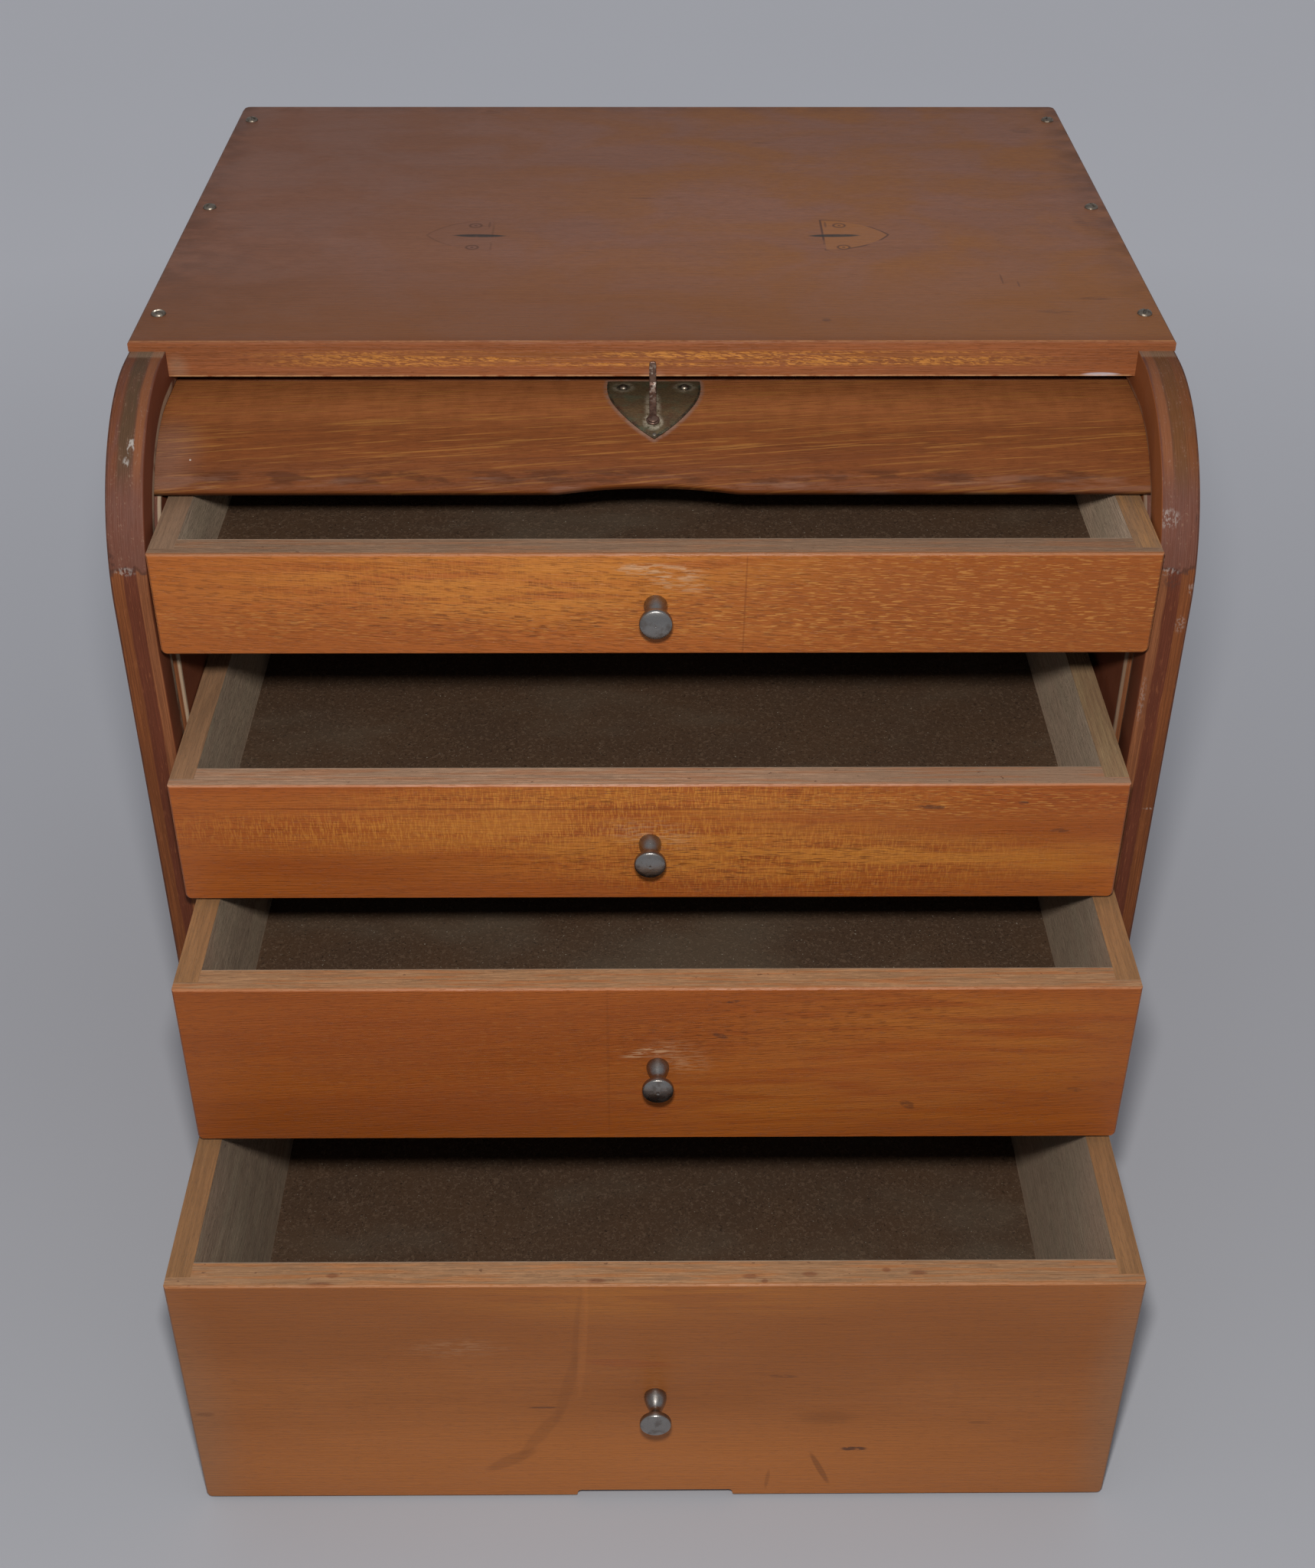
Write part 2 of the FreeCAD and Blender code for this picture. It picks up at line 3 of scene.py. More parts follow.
import bmesh
import bpy
import numpy as np
from bpy.props import FloatProperty, FloatVectorProperty, IntProperty, PointerProperty
from mathutils import Matrix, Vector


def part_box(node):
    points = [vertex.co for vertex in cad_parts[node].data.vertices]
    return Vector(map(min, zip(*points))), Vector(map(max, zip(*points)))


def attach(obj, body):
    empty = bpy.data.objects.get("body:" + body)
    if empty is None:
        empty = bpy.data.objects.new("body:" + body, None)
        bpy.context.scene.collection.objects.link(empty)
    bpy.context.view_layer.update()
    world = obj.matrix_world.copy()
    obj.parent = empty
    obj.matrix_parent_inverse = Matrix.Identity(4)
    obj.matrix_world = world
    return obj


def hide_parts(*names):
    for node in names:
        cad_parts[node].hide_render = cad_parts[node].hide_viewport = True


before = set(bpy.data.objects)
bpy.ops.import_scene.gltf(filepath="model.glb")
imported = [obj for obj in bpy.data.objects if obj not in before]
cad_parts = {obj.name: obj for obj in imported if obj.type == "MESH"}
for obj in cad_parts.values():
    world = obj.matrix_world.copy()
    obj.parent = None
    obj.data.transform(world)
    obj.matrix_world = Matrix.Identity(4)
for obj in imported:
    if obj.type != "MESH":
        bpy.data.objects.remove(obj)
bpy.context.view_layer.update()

bl_info = {
    "name": "Roll front tool cabinet",
    "version": (1, 0, 0),
    "blender": (4, 5, 0),
    "location": "View3D > Sidebar > Tool cabinet",
    "description": "Dresses the packed tool cabinet: wood, roll front, latch, knobs and stage",
    "category": "Object",
}

MM = 0.001
DRAWERS = (1, 2, 3, 4)


# ---- colours ------------------------------------------------------------------------
def linear(hex_colour):
    """An sRGB hex colour as linear red, green, blue and 1."""
    srgb = np.array([int(hex_colour[i:i + 2], 16) for i in (1, 3, 5)]) / 255.0
    value = np.where(srgb <= 0.04045, srgb / 12.92, ((srgb + 0.055) / 1.055) ** 2.4)
    return (*value.tolist(), 1.0)


def colour(name, hex_colour, description):
    """A colour that a user may change, written as sRGB hex."""
    return FloatVectorProperty(name=name, description=description, subtype="COLOR", size=4,
                               min=0.0, max=1.0, default=linear(hex_colour))


def length(name, millimetres, description):
    """A length that a user may change, written in millimetres and kept in metres."""
    return FloatProperty(name=name, description=description, unit="LENGTH",
                         default=millimetres * MM, precision=5)


# ---- what the frame says ------------------------------------------------------------
def corners(node):
    """The lowest and highest corner of a CAD node, in millimetres."""
    low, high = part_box(node)
    return np.array(low) / MM, np.array(high) / MM


SIDE_LOW, SIDE_HIGH = corners("case_side_right")
TOP_LOW, TOP_HIGH = corners("top_board")
BACK_LOW, BACK_HIGH = corners("back_panel")
BASE_LOW, BASE_HIGH = corners("base_board")
LEAD_HALF = corners("roll_lead")[1][0]
RUN_FRONT = corners("roll_top_run")[0][1]


class CaseLook(bpy.types.PropertyGroup):
    """Sizes and colours of the case."""
    nose: length("Nose radius", 58.0, "Rounded upper front corner of each side")
    groove_lip: length("Groove lip", 14.5, "Wood between the groove and the front edge")
    groove_back_lip: length("Back lip", 10.0, "Wood between the groove and the back edge")
    groove_width: length("Groove width", 8.0, "Width of the roll front's groove")
    groove_depth: length("Groove depth", 6.0, "Depth of the groove and of the housings")
    back_bend: length("Back bend radius", 31.5, "Outer wall of the groove at the back bend")
    tail_end: length("Groove end", 150.1, "Height at which the groove ends at the back")
    ease: length("Eased edge", 0.7, "How far the corners of a side are worn round")
    side_face: colour("Side veneer", "#8a5230", "Varnished veneer on the faces of the sides")
    ply_outer: colour("Outer ply", "#724020", "Edge of the outer ply")
    ply_core: colour("Core ply", "#5c2e1c", "Edge of the dark core ply")
    ply_inner: colour("Inner ply", "#7c4b2d", "Edge of the inner ply")
    ply_worn: colour("Worn nose", "#613d31", "Rubbed finish over the plies of the nose")
    ply_olive: colour("Worn core", "#4d3b27", "Core ply of the nose where its finish is worn")
    ply_brown: colour("Worn core, right", "#683f1f", "Browner core ply of the right nose")
    raw_edge: colour("Bare wood", "#a8927a", "Wood rubbed bare along an edge")
    top_pale: colour("Top, pale", "#97644b", "Pale streaks of the top")
    top_deep: colour("Top, deep", "#8c5b43", "Deep streaks of the top")
    top_warm: colour("Top, warm", "#9a6334", "Warmer right half of the top")
    top_grey: colour("Top, grey", "#7d5543", "Greyer left half of the top")
    top_front: colour("Top, front", "#7b4b29", "Warmer strip along the front of the top")
    top_line: colour("Top edge lines", "#b98a5e", "Rubbed corners of the front edge")
    top_edge: colour("Top edge", "#8b4f2a", "Front edge of the top")
    top_gold: colour("Top edge figure", "#a9702f", "Gold figure on the front edge of the top")
    back_wood: colour("Back sheet", "#a5825c", "Raw plywood of the back and the base")
    runner_wood: colour("Runner", "#a88660", "Waxed hardwood of the runners")
    screw_radius: length("Screw head radius", 2.5, "Round head of a top screw")
    screw_height: length("Screw head height", 1.5, "How far a head stands up")
    screw_steel: colour("Screw steel", "#8d8376", "Tarnished steel of the screws")


class RollLook(bpy.types.PropertyGroup):
    """Sizes and colours of the roll front."""
    bend: length("Bend radius", 42.3, "Radius of the roll front's face at the front bend")
    thickness: length("Thickness", 5.0, "Thickness of the roll front")
    exposed: length("Exposed run", 36.6, "From the top of the bend to the lead edge")
    covered: length("Covered run", 19.0, "Level part of the lead board under the top")
    lead_round: length("Lead edge rounding", 1.5, "Rounding of the lead edge")
    notch_width: length("Notch width", 57.0, "Finger notch in the lead edge")
    notch_depth: length("Notch depth", 2.3, "Depth of that notch")
    notch_shift: length("Notch shift", -1.5, "Shift of that notch to the right")
    pale: colour("Roll wood, pale", "#713d18", "Pale streaks of the roll front")
    deep: colour("Roll wood, deep", "#623212", "Deep streaks of the roll front")
    # Painted light, not drier wood: lighter against the shade under the top's front edge.
    upper: colour("Roll wood, upper", "#a06136", "Drier upper strip of the roll front")
    gold: colour("Roll wood, gold", "#9a672f", "Thin gold streaks of the roll front")
    haze: colour("Roll wood, rubbed", "#866a5c", "Rubbed and grubby places of the roll front")
    raw: colour("Roll wood, raw", "#b39d86", "Raw inner face of the roll front")


class LatchLook(bpy.types.PropertyGroup):
    """Sizes and colours of the latch."""
    shield_width: length("Shield width", 30.6, "Width of the shield's straight edge")
    shield_belly: length("Shield belly", 24.2, "Width of the shield at its belly")
    belly_run: length("Belly run", 2.8, "Where the belly lies, along the roll front")
    top_run: length("Top run", -17.0, "Where the straight edge lies")
    tip_run: length("Tip run", 17.9, "Where the tip lies")
    shift: length("Shield shift", 0.4, "Shift of the shield to the right")
    thickness: length("Shield thickness", 0.7, "Thickness of the shield")
    pivot_run: length("Pivot run", 10.7, "Where the hook's rivet stands")
    rivet_run: length("Nail run", -12.0, "Where the two upper nails stand")
    rivet_space: length("Nail spacing", 20.2, "Between the two upper nails")
    head_radius: length("Nail head radius", 2.0, "Round heads on the shield")
    head_height: length("Nail head height", 1.0, "How far those heads stand up")
    hook_width: length("Hook width", 2.3, "Width of the hook's strip")
    hook_thickness: length("Hook thickness", 0.8, "Thickness of the hook's strip")
    hook_length: length("Hook length", 16.2, "From the pivot to the hook's bend")
    hook_bend: length("Hook bend", 1.2, "Inner radius of the hook's bend")
    hook_lug: length("Hook lug", 7.0, "Straight part in front of the top")
    hook_eye: length("Hook eye radius", 2.2, "Outer radius of the hook's eye")
    hook_gap: length("Hook clearance", 0.3, "Gap between the hook and the shield")
    brass: colour("Patinated brass", "#6a583f", "Dark brass of the shield")
    brass_worn: colour("Rubbed brass", "#b3a892", "Brass rubbed paler round the fixings")
    brass_dark: colour("Tarnish", "#2b2a24", "Dark tarnish close to the nails")
    steel: colour("Rusty steel", "#6d5549", "Steel of the hook")


class DrawerLook(bpy.types.PropertyGroup):
    """Colours of the drawers."""
    upper_pale: colour("Upper front, pale", "#9a5622", "Pale streaks of the upper front")
    upper_deep: colour("Upper front, deep", "#904c19", "Deep streaks of the upper front")
    second_pale: colour("Second front, pale", "#98521e", "Pale streaks of the second front")
    second_deep: colour("Second front, deep", "#8a4517", "Deep streaks of the second front")
    third_pale: colour("Third front, pale", "#954f19", "Pale streaks of the third front")
    third_deep: colour("Third front, deep", "#874416", "Deep streaks of the third front")
    lowest_pale: colour("Lowest front, pale", "#975a28", "Pale streaks of the lowest front")
    lowest_deep: colour("Lowest front, deep", "#8e5223", "Deep streaks of the lowest front")
    gold: colour("Gold figure", "#b0702b", "Glittering figure of the fronts")
    dash: colour("Pale pores", "#b8803f", "Pores filled with pale dust")
    scuff: colour("Scuffs", "#b08a68", "Pale scuffs above the knobs")
    stain: colour("Stains", "#4a2c1e", "Dark spots and stains")
    red: colour("Red patches", "#86401c", "Redder patches of the lower fronts")
    grey: colour("Greyed ends", "#8b6447", "Rubbed ends of the lowest front")
    rim_grey: colour("Upper rim", "#866952", "Upper edge of the top drawer")
    rim_pale: colour("Second rim", "#aa876d", "Upper edge of the second drawer")
    rim: colour("Lower rims", "#9a7453", "Upper edge of the two lower fronts")
    side_rim: colour("Second side rim", "#956f50", "Upper edge of the second drawer's sides")
    rim_orange: colour("Lower side rims", "#8b6440", "Upper edge of the two lower drawers' sides")
    rim_gold: colour("Upper side rim, right", "#a47442", "Right side's upper edge, top drawer")
    rim_dusty: colour("Second side rim, right", "#96805e",
                      "Right side's upper edge, second drawer")
    raw: colour("Raw wood", "#8c7967", "Unfinished wood inside a drawer")
    green: colour("Raw wood, greenish", "#a2987f", "Greenish streaks in that wood")
    board: colour("Hardboard", "#503b2b", "Bottom of a drawer")
    board_speck: colour("Hardboard fibre", "#6b5543", "Pale fibres in a drawer's bottom")
    board_haze: colour("Hardboard, dusty", "#6b6152", "Dusty places of a drawer's bottom")


class KnobLook(bpy.types.PropertyGroup):
    """Sizes and colours of the knobs."""
    length: length("Knob length", 13.0, "From the front to the crown")
    head: length("Head radius", 5.25, "Radius of the head")
    foot: length("Foot radius", 3.7, "Radius of the foot")
    neck: length("Neck radius", 1.85, "Radius of the neck")
    segments: IntProperty(name="Segments", description="Facets round a knob", default=72, min=16)
    nickel: colour("Satin nickel", "#9b9894", "Satin nickel of the knobs")
    tarnish: colour("Tarnish", "#5e5148", "Brown tarnish on the knobs")


class StageLook(bpy.types.PropertyGroup):
    """Floor, light and camera."""
    floor: colour("Floor", "#a3a4a9", "Plain pale floor")
    far_glow: FloatProperty(name="Far glow", description="How much the far floor glows",
                            subtype="FACTOR", min=0.0, max=1.0, default=0.52)
    key_power: FloatProperty(name="Key power", description="Soft lamp close to the camera",
                             unit="POWER", default=4.3)
    key_size: length("Key size", 36.0, "Width of that lamp")
    key_place: FloatVectorProperty(name="Key place", description="Where that lamp hangs",
                                   subtype="TRANSLATION", default=(-0.008, -0.655, 0.652))
    air: FloatProperty(name="Room light", description="Even light from all round",
                       subtype="FACTOR", min=0.0, max=1.0, default=0.37)
    focal: FloatProperty(name="Focal length", description="Camera focal length",
                         unit="CAMERA", default=46.408)


class CabinetSettings(bpy.types.PropertyGroup):
    """All settings of the cabinet."""
    case: PointerProperty(type=CaseLook)
    roll: PointerProperty(type=RollLook)
    latch: PointerProperty(type=LatchLook)
    drawers: PointerProperty(type=DrawerLook)
    knobs: PointerProperty(type=KnobLook)
    stage: PointerProperty(type=StageLook)


def scene_look():
    """The cabinet's settings in this scene."""
    return bpy.context.scene.tool_cabinet


# ---- meshes -------------------------------------------------------------------------
def grid_faces(rows, columns, close_columns=False):
    """Quads between neighbouring points of a grid that is stored row by row."""
    row, column = np.meshgrid(np.arange(rows - 1),
                              np.arange(columns if close_columns else columns - 1),
                              indexing="ij")
    here, below = row * columns, (row + 1) * columns
    right = (column + 1) % columns
    quads = np.stack([here + column, here + right, below + right, below + column], axis=-1)
    return quads.reshape(-1, 4)


def make_piece(name, shells, body, material, sharp=32.0):
    """Joins shells of points in millimetres and faces into one piece that rides on a body.

    Doubles are merged and the normals turned outward before the shading is set.
    """
    points = np.concatenate([shell[0].reshape(-1, 3) for shell in shells])
    starts = np.cumsum([0] + [len(shell[0].reshape(-1, 3)) for shell in shells])
    faces = []
    for start, (_, *groups) in zip(starts, shells):
        for group in groups:
            faces.extend((np.asarray(group) + start).tolist())
    mesh = bpy.data.meshes.new(name)
    mesh.from_pydata((points * MM).tolist(), [], faces)
    shape = bmesh.new()
    shape.from_mesh(mesh)
    bmesh.ops.remove_doubles(shape, verts=shape.verts, dist=1e-6)
    bmesh.ops.dissolve_degenerate(shape, edges=shape.edges, dist=1e-7)
    bmesh.ops.recalc_face_normals(shape, faces=shape.faces)
    shape.to_mesh(mesh)
    shape.free()
    mesh.shade_smooth()
    mesh.set_sharp_from_angle(angle=math.radians(sharp))
    mesh.materials.append(material)
    piece = bpy.data.objects.new(name, mesh)
    bpy.context.scene.collection.objects.link(piece)
    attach(piece, body)
    return piece


def along(points, steps):
    """Points of a smooth curve through given points, with some steps from each to the next.

    Catmull-Rom: between two points the curve is the cubic whose slope at each is half the
    step from the point before to the point after.
    """
    p = np.asarray(points, float)
    padded = np.vstack([2 * p[0] - p[1], p, 2 * p[-1] - p[-2]])
    t = np.linspace(0, 1, steps, endpoint=False)[None, :, None]
    a, b, c, d = (padded[i:len(p) - 1 + i, None, :] for i in range(4))
    curve = 0.5 * (2 * b + (c - a) * t + (2 * a - 5 * b + 4 * c - d) * t ** 2
                   + (3 * b - a - 3 * c + d) * t ** 3)
    return np.vstack([curve.reshape(-1, p.shape[1]), p[-1:]])


def turned(profile, foot, axis, segments):
    """A surface of revolution.

    Each profile point is a radius r and a height s, and the surface is
    foot + s * axis + r * (cos(a) * u + sin(a) * v) for a from 0 to a full turn.
    """
    axis = np.asarray(axis, float) / np.linalg.norm(axis)
    side = np.cross(axis, [1.0, 0.0, 0.0])
    side = side if np.linalg.norm(side) > 0.1 else np.cross(axis, [0.0, 1.0, 0.0])
    u = side / np.linalg.norm(side)
    v = np.cross(axis, u)
    a = np.linspace(0, 2 * np.pi, segments, endpoint=False)
    ring = np.cos(a)[:, None] * u + np.sin(a)[:, None] * v
    r = np.asarray(profile)[:, 0][:, None, None]
    s = np.asarray(profile)[:, 1][:, None, None]
    grid = np.asarray(foot) + s * axis + r * ring[None]
    return grid, grid_faces(len(profile), segments, close_columns=True)


def round_head(foot, axis, radius, height, slot_angle=None, segments=48):
    """A round screw or nail head: half an ellipse turned about its axis.

    The height at a share q of the radius is height * sqrt(1 - q * q).  A slot, if there is
    one, lowers every point within its half width of a line across the head.
    """
    slot_half, slot_edge, slot_depth = 0.42, 0.14, 0.75
    q = np.sin(np.linspace(0, np.pi / 2, 22))[::-1]
    profile = np.stack([radius * q, height * np.sqrt(1 - q ** 2)], axis=1)
    profile = np.vstack([[0.0, 0.0], profile])
    grid, faces = turned(profile, foot, axis, segments)
    if slot_angle is not None:
        axis = np.asarray(axis, float) / np.linalg.norm(axis)
        offset = grid - np.asarray(foot)
        rise = offset @ axis
        across = offset @ np.array([math.cos(slot_angle), math.sin(slot_angle), 0.0])
        share = np.clip((slot_half - np.abs(across)) / slot_edge, 0, 1)
        floor = np.minimum(rise, height - slot_depth)
        grid = grid - ((rise - floor) * share)[..., None] * axis
    return grid, faces


def miter(outline):
    """For each point of a closed outline, the step that moves both its edges inward by 1."""
    edge = np.roll(outline, -1, axis=0) - outline
    edge = edge / np.linalg.norm(edge, axis=1, keepdims=True)
    area = np.sum(outline[:, 0] * np.roll(outline[:, 1], -1)
                  - np.roll(outline[:, 0], -1) * outline[:, 1])
    normal = np.stack([-edge[:, 1], edge[:, 0]], axis=1) * np.sign(area)
    before = np.roll(normal, 1, axis=0)
    return (before + normal) / (1 + np.sum(before * normal, axis=1, keepdims=True))


def end_faces(rows, columns):
    """Faces that close the first and the last row of a grid that is stored row by row."""
    first = np.arange(columns)
    return np.stack([first, first + (rows - 1) * columns])


def plate(outline, rings):
    """A flat piece across X with eased edges.

    The outline in the YZ plane is repeated at each ring's x, moved inward by the ring's
    inset, and the first and last rings are closed by flat faces.
    """
    outline = np.asarray(outline, float)
    rings = np.asarray(rings, float)
    flat = outline[None] + rings[:, 1][:, None, None] * miter(outline)[None]
    x = np.broadcast_to(rings[:, 0][:, None, None], (*flat.shape[:2], 1))
    return (np.concatenate([x, flat], axis=2),
            grid_faces(len(rings), len(outline), close_columns=True),
            end_faces(len(rings), len(outline)))


def curve_points(y, z, radius, start, end, count):
    """Points of an arc about an axis along X; an angle is measured from straight up to the
    front, so a point is (y - radius * sin(angle), z + radius * cos(angle))."""
    a = np.radians(np.linspace(start, end, count))
    return np.stack([y - radius * np.sin(a), z + radius * np.cos(a)], axis=1)


# ---- nodes --------------------------------------------------------------------------
def add(tree, kind, inputs=None, **settings):
    """Adds a node with its settings, fills or links its inputs, gives its first live output."""
    node = tree.nodes.new(kind)
    for name, value in settings.items():
        setattr(node, name, value)
    for name, value in (inputs or {}).items():
        live = [socket for socket in node.inputs if socket.enabled]
        socket = live[name] if isinstance(name, int) else next(s for s in live if s.name == name)
        if isinstance(value, bpy.types.NodeSocket):
            tree.links.new(value, socket)
        else:
            socket.default_value = value
    return next((socket for socket in node.outputs if socket.enabled), None)


def start_material(name):
    """An empty material and its place in millimetres."""
    material = bpy.data.materials.new(name)
    material.use_nodes = True
    tree = material.node_tree
    tree.nodes.clear()
    where = add(tree, "ShaderNodeTexCoord").node.outputs["Object"]
    where = add(tree, "ShaderNodeVectorMath", {0: where, 1: (1000.0, 1000.0, 1000.0)},
                operation="MULTIPLY")
    return material, tree, where


def end_material(tree, base, rough, height, relief, **constants):
    """The surface shader: base colour, roughness from smooth to dull by a share, relief in mm."""
    share, smooth, dull = rough
    roughness = add(tree, "ShaderNodeMapRange", {"Value": share, "To Min": smooth, "To Max": dull})
    normal = add(tree, "ShaderNodeBump", {"Height": height, "Strength": 1.0,
                                          "Distance": relief * MM})
    shader = add(tree, "ShaderNodeBsdfPrincipled", {
        "Base Color": base, "Roughness": roughness, "Normal": normal,
        **{name.replace("_", " "): value for name, value in constants.items()}})
    add(tree, "ShaderNodeOutputMaterial", {"Surface": shader})


def cloud(tree, where, size, seed, low, high, detail=3.0, warp=0.0, turn=(0.0, 0.0, 0.0)):
    """Cloudy pattern of blobs that are size mm along each axis, turned by degrees: 0 where
    the noise is under one level and 1 where it is over another."""
    local = add(tree, "ShaderNodeMapping", {
        "Vector": where, "Location": (seed * 37.7, seed * -53.1, seed * 91.3),
        "Rotation": tuple(math.radians(angle) for angle in turn), "Scale": size},
        vector_type="TEXTURE")
    level = add(tree, "ShaderNodeTexNoise", {"Vector": local, "Scale": 1.0, "Detail": detail,
                                             "Roughness": 0.55, "Distortion": warp})
    return add(tree, "ShaderNodeMapRange", {"Value": level, "From Min": low, "From Max": high},
               interpolation_type="SMOOTHSTEP")


def patch(tree, where, centre, half, turn=0.0, soft=0.5, about=1):
    """1 inside an ellipsoid of given half sizes, turned about one axis, 0 outside its rim."""
    angle = [0.0, 0.0, 0.0]
    angle[about] = math.radians(turn)
    local = add(tree, "ShaderNodeMapping", {"Vector": where, "Location": centre,
                                            "Rotation": tuple(angle), "Scale": half},
                vector_type="TEXTURE")
    reach = add(tree, "ShaderNodeVectorMath", {0: local}, operation="LENGTH")
    return add(tree, "ShaderNodeMapRange", {
        "Value": reach, "From Min": 1.0 - soft / 2, "From Max": 1.0 + soft / 2,
        "To Min": 1.0, "To Max": 0.0}, interpolation_type="SMOOTHSTEP")


def zone(tree, value, low=None, high=None, soft=1.0):
    """1 where a value lies between two limits, fading over soft at each; one may be left out."""
    share = 1.0
    for limit, sign in ((low, 1.0), (high, -1.0)):
        if limit is not None:
            inside = add(tree, "ShaderNodeMapRange", {
                "Value": value, "From Min": limit - soft / 2, "From Max": limit + soft / 2,
                "To Min": 0.5 - sign / 2, "To Max": 0.5 + sign / 2},
                interpolation_type="SMOOTHSTEP")
            share = add(tree, "ShaderNodeMath", {0: share, 1: inside}, operation="MULTIPLY")
    return share


def paint(tree, base, *coats):
    """Lays coats on a base colour in turn: each coat is a colour and the shares whose
    product says how far it covers."""
    for coat, *shares in coats:
        cover = shares[0]
        for share in shares[1:]:
            cover = add(tree, "ShaderNodeMath", {0: cover, 1: share}, operation="MULTIPLY")
        base = add(tree, "ShaderNodeMix", {"Factor": cover, "A": base, "B": coat},
                   data_type="RGBA")
    return base


def shade(tone, factor):
    """A linear colour made darker or lighter by a factor."""
    return tuple(min(channel * factor, 1.0) for channel in tone[:3]) + (1.0,)


def grain(axis, long, wide):
    """Sizes of a pattern that is long along the grain's axis and wide across it."""
    return tuple(long if index == axis else wide for index in range(3))


def wood(tree, where, axis, pale, deep, seed, streak=8.0, pores=0.5, turn=(0.0, 0.0, 0.0),
         raised=True):
    """Straight-grained tropical wood, as a colour and, where it is raised, a height.

    Broad bands and narrow streaks run along the grain and fine fibres lie between them.
    Open pores cut short dark dashes, about 5 mm long and a third of a millimetre wide.
    """
    bands = cloud(tree, where, grain(axis, 170.0, streak), seed, 0.34, 0.66, 4.0, 0.4, turn)
    streaks = cloud(tree, where, grain(axis, 60.0, 1.8), seed + 1, 0.40, 0.66, 2.0, 0.2, turn)
    fibres = cloud(tree, where, grain(axis, 16.0, 0.5), seed + 2, 0.32, 0.68, 3.0, 0.0, turn)
    pore = cloud(tree, where, grain(axis, 4.6, 0.28), seed + 3, 0.60, 0.66, 1.0, 0.0, turn)
    base = paint(tree, deep, (pale, bands), (shade(pale, 1.12), streaks, 0.35),
                 (shade(deep, 0.85), fibres, 0.3), (shade(deep, 0.45), pore, pores))
    height = add(tree, "ShaderNodeMath", {0: pore, 1: -0.8, 2: fibres},
                 operation="MULTIPLY_ADD") if raised else None
    return base, height


# ---- wood materials -----------------------------------------------------------------
# Marks on the sides' front edges: kind, cover, centre and half sizes.
NOSE_MARKS = (
    # The first of these marks is a painted highlight: a white glint on the left nose.
    ("chalk_and_glint", 0.85, (-162.4, -130.4, 334.1), (1.1, 2.6, 3.6)),
    ("chalk_and_glint", 0.6, (-163.6, -134.5, 330.5), (0.9, 1.6, 2.0)),
    ("chalk_and_glint", 0.35, (-165.0, -150.5, 301.2), (3.2, 4.0, 1.3)),
    ("knock", 0.8, (-169.4, -150.5, 304.0), (1.6, 4.0, 4.0)),
    ("chalk_and_glint", 0.4, (160.2, -145.5, 316.4), (3.2, 6.0, 2.6)),
    ("chalk_and_glint", 0.35, (161.6, -150.5, 300.8), (2.8, 4.0, 1.2)),
    ("chalk_and_glint", 0.25, (167.4, -152.0, 282.4), (1.5, 4.0, 3.0)),
    ("chalk_and_glint", 0.25, (168.9, -152.0, 295.4), (0.8, 4.0, 2.6)),
    ("chalk_and_glint", 0.2, (159.3, -152.0, 254.0), (0.9, 4.0, 8.5)),
    ("chalk_and_glint", 0.4, (158.8, -106.0, 337.0), (0.9, 4.0, 3.2)),
    ("chalk_and_glint", 0.5, (168.0, -152.3, 209.4), (2.0, 2.0, 0.4)),
    ("knock", 0.9, (169.4, -148.0, 316.6), (1.1, 4.0, 2.2)),
    ("knock", 0.6, (162.6, -151.0, 297.5), (2.6, 4.0, 2.6)))


def side_plywood(look):
    """Mahogany plywood, sanded and varnished: veneer on the broad faces, plies on every edge.

    Both lips of the groove are rubbed bare.  They are found by how far a point leans out
    from the bend's axis, level below it.
    """
    material, tree, where = start_material("varnished_side_plywood")
    x, y, z = add(tree, "ShaderNodeSeparateXYZ", {"Vector": where}).node.outputs[:]
    low, high = SIDE_LOW[0], SIDE_HIGH[0]
    reach = add(tree, "ShaderNodeMath", {0: x}, operation="ABSOLUTE")
    left, right = zone(tree, x, high=0.0), zone(tree, x, 0.0)
    face, _ = wood(tree, where, 2, look.side_face, shade(look.side_face, 0.62), 3,
                   raised=False)
    strands = cloud(tree, where, (0.35, 26.0, 26.0), 11, 0.36, 0.66)
    haze = cloud(tree, where, (1.0, 6.0, 6.0), 15, 0.46, 0.68, 5.0)
    rubbed = cloud(tree, where, (20.0, 9.0, 9.0), 18, 0.30, 0.52, 5.0)
    edge, nose = ply_edge(tree, where, y, z, reach, right, strands, haze, look)
    bend_y, bend_z, _ = front_bend()
    lean = where
    for operation, other in (("SUBTRACT", (0.0, bend_y, bend_z)),
                             ("MINIMUM", (0.0, 0.0, 1000.0)), ("MAXIMUM", (0.0, -1000.0, 0.0))):
        lean = add(tree, "ShaderNodeVectorMath", {0: lean, 1: other}, operation=operation)
    lean = add(tree, "ShaderNodeVectorMath", {0: lean}, operation="LENGTH")
    wall = (look.nose - look.groove_lip) / MM
    back_wall = wall - look.groove_width / MM
    outside = zone(tree, reach, high - 0.22, soft=0.2)
    inside = zone(tree, reach, high=low + 0.22, soft=0.2)
    near = zone(tree, reach, high=low + 1.0, soft=0.3)
    base = paint(tree, edge, (face, outside), (shade(look.ply_core, 1.05), inside, 0.9),
                 (shade(look.ply_outer, 1.25), inside, nose, right, 0.85),
                 (look.raw_edge, near, zone(tree, lean, wall - 0.3, wall + 3.0, 0.8), rubbed,
                  left, 0.75),
                 (look.raw_edge, near, zone(tree, lean, wall - 0.3, wall + 1.6, 0.8), rubbed,
                  right, 0.3),
                 (look.raw_edge, near, zone(tree, lean, back_wall - 1.2, back_wall + 0.3, 0.4),
                  left, 0.85),
                 (shade(look.raw_edge, 0.6), near, right,
                  zone(tree, lean, back_wall - 1.0, back_wall + 0.3, 0.4), 0.6))
    end_material(tree, base, (haze, 0.6, 0.75), strands, 0.1, Specular_IOR_Level=0.2)
    return material


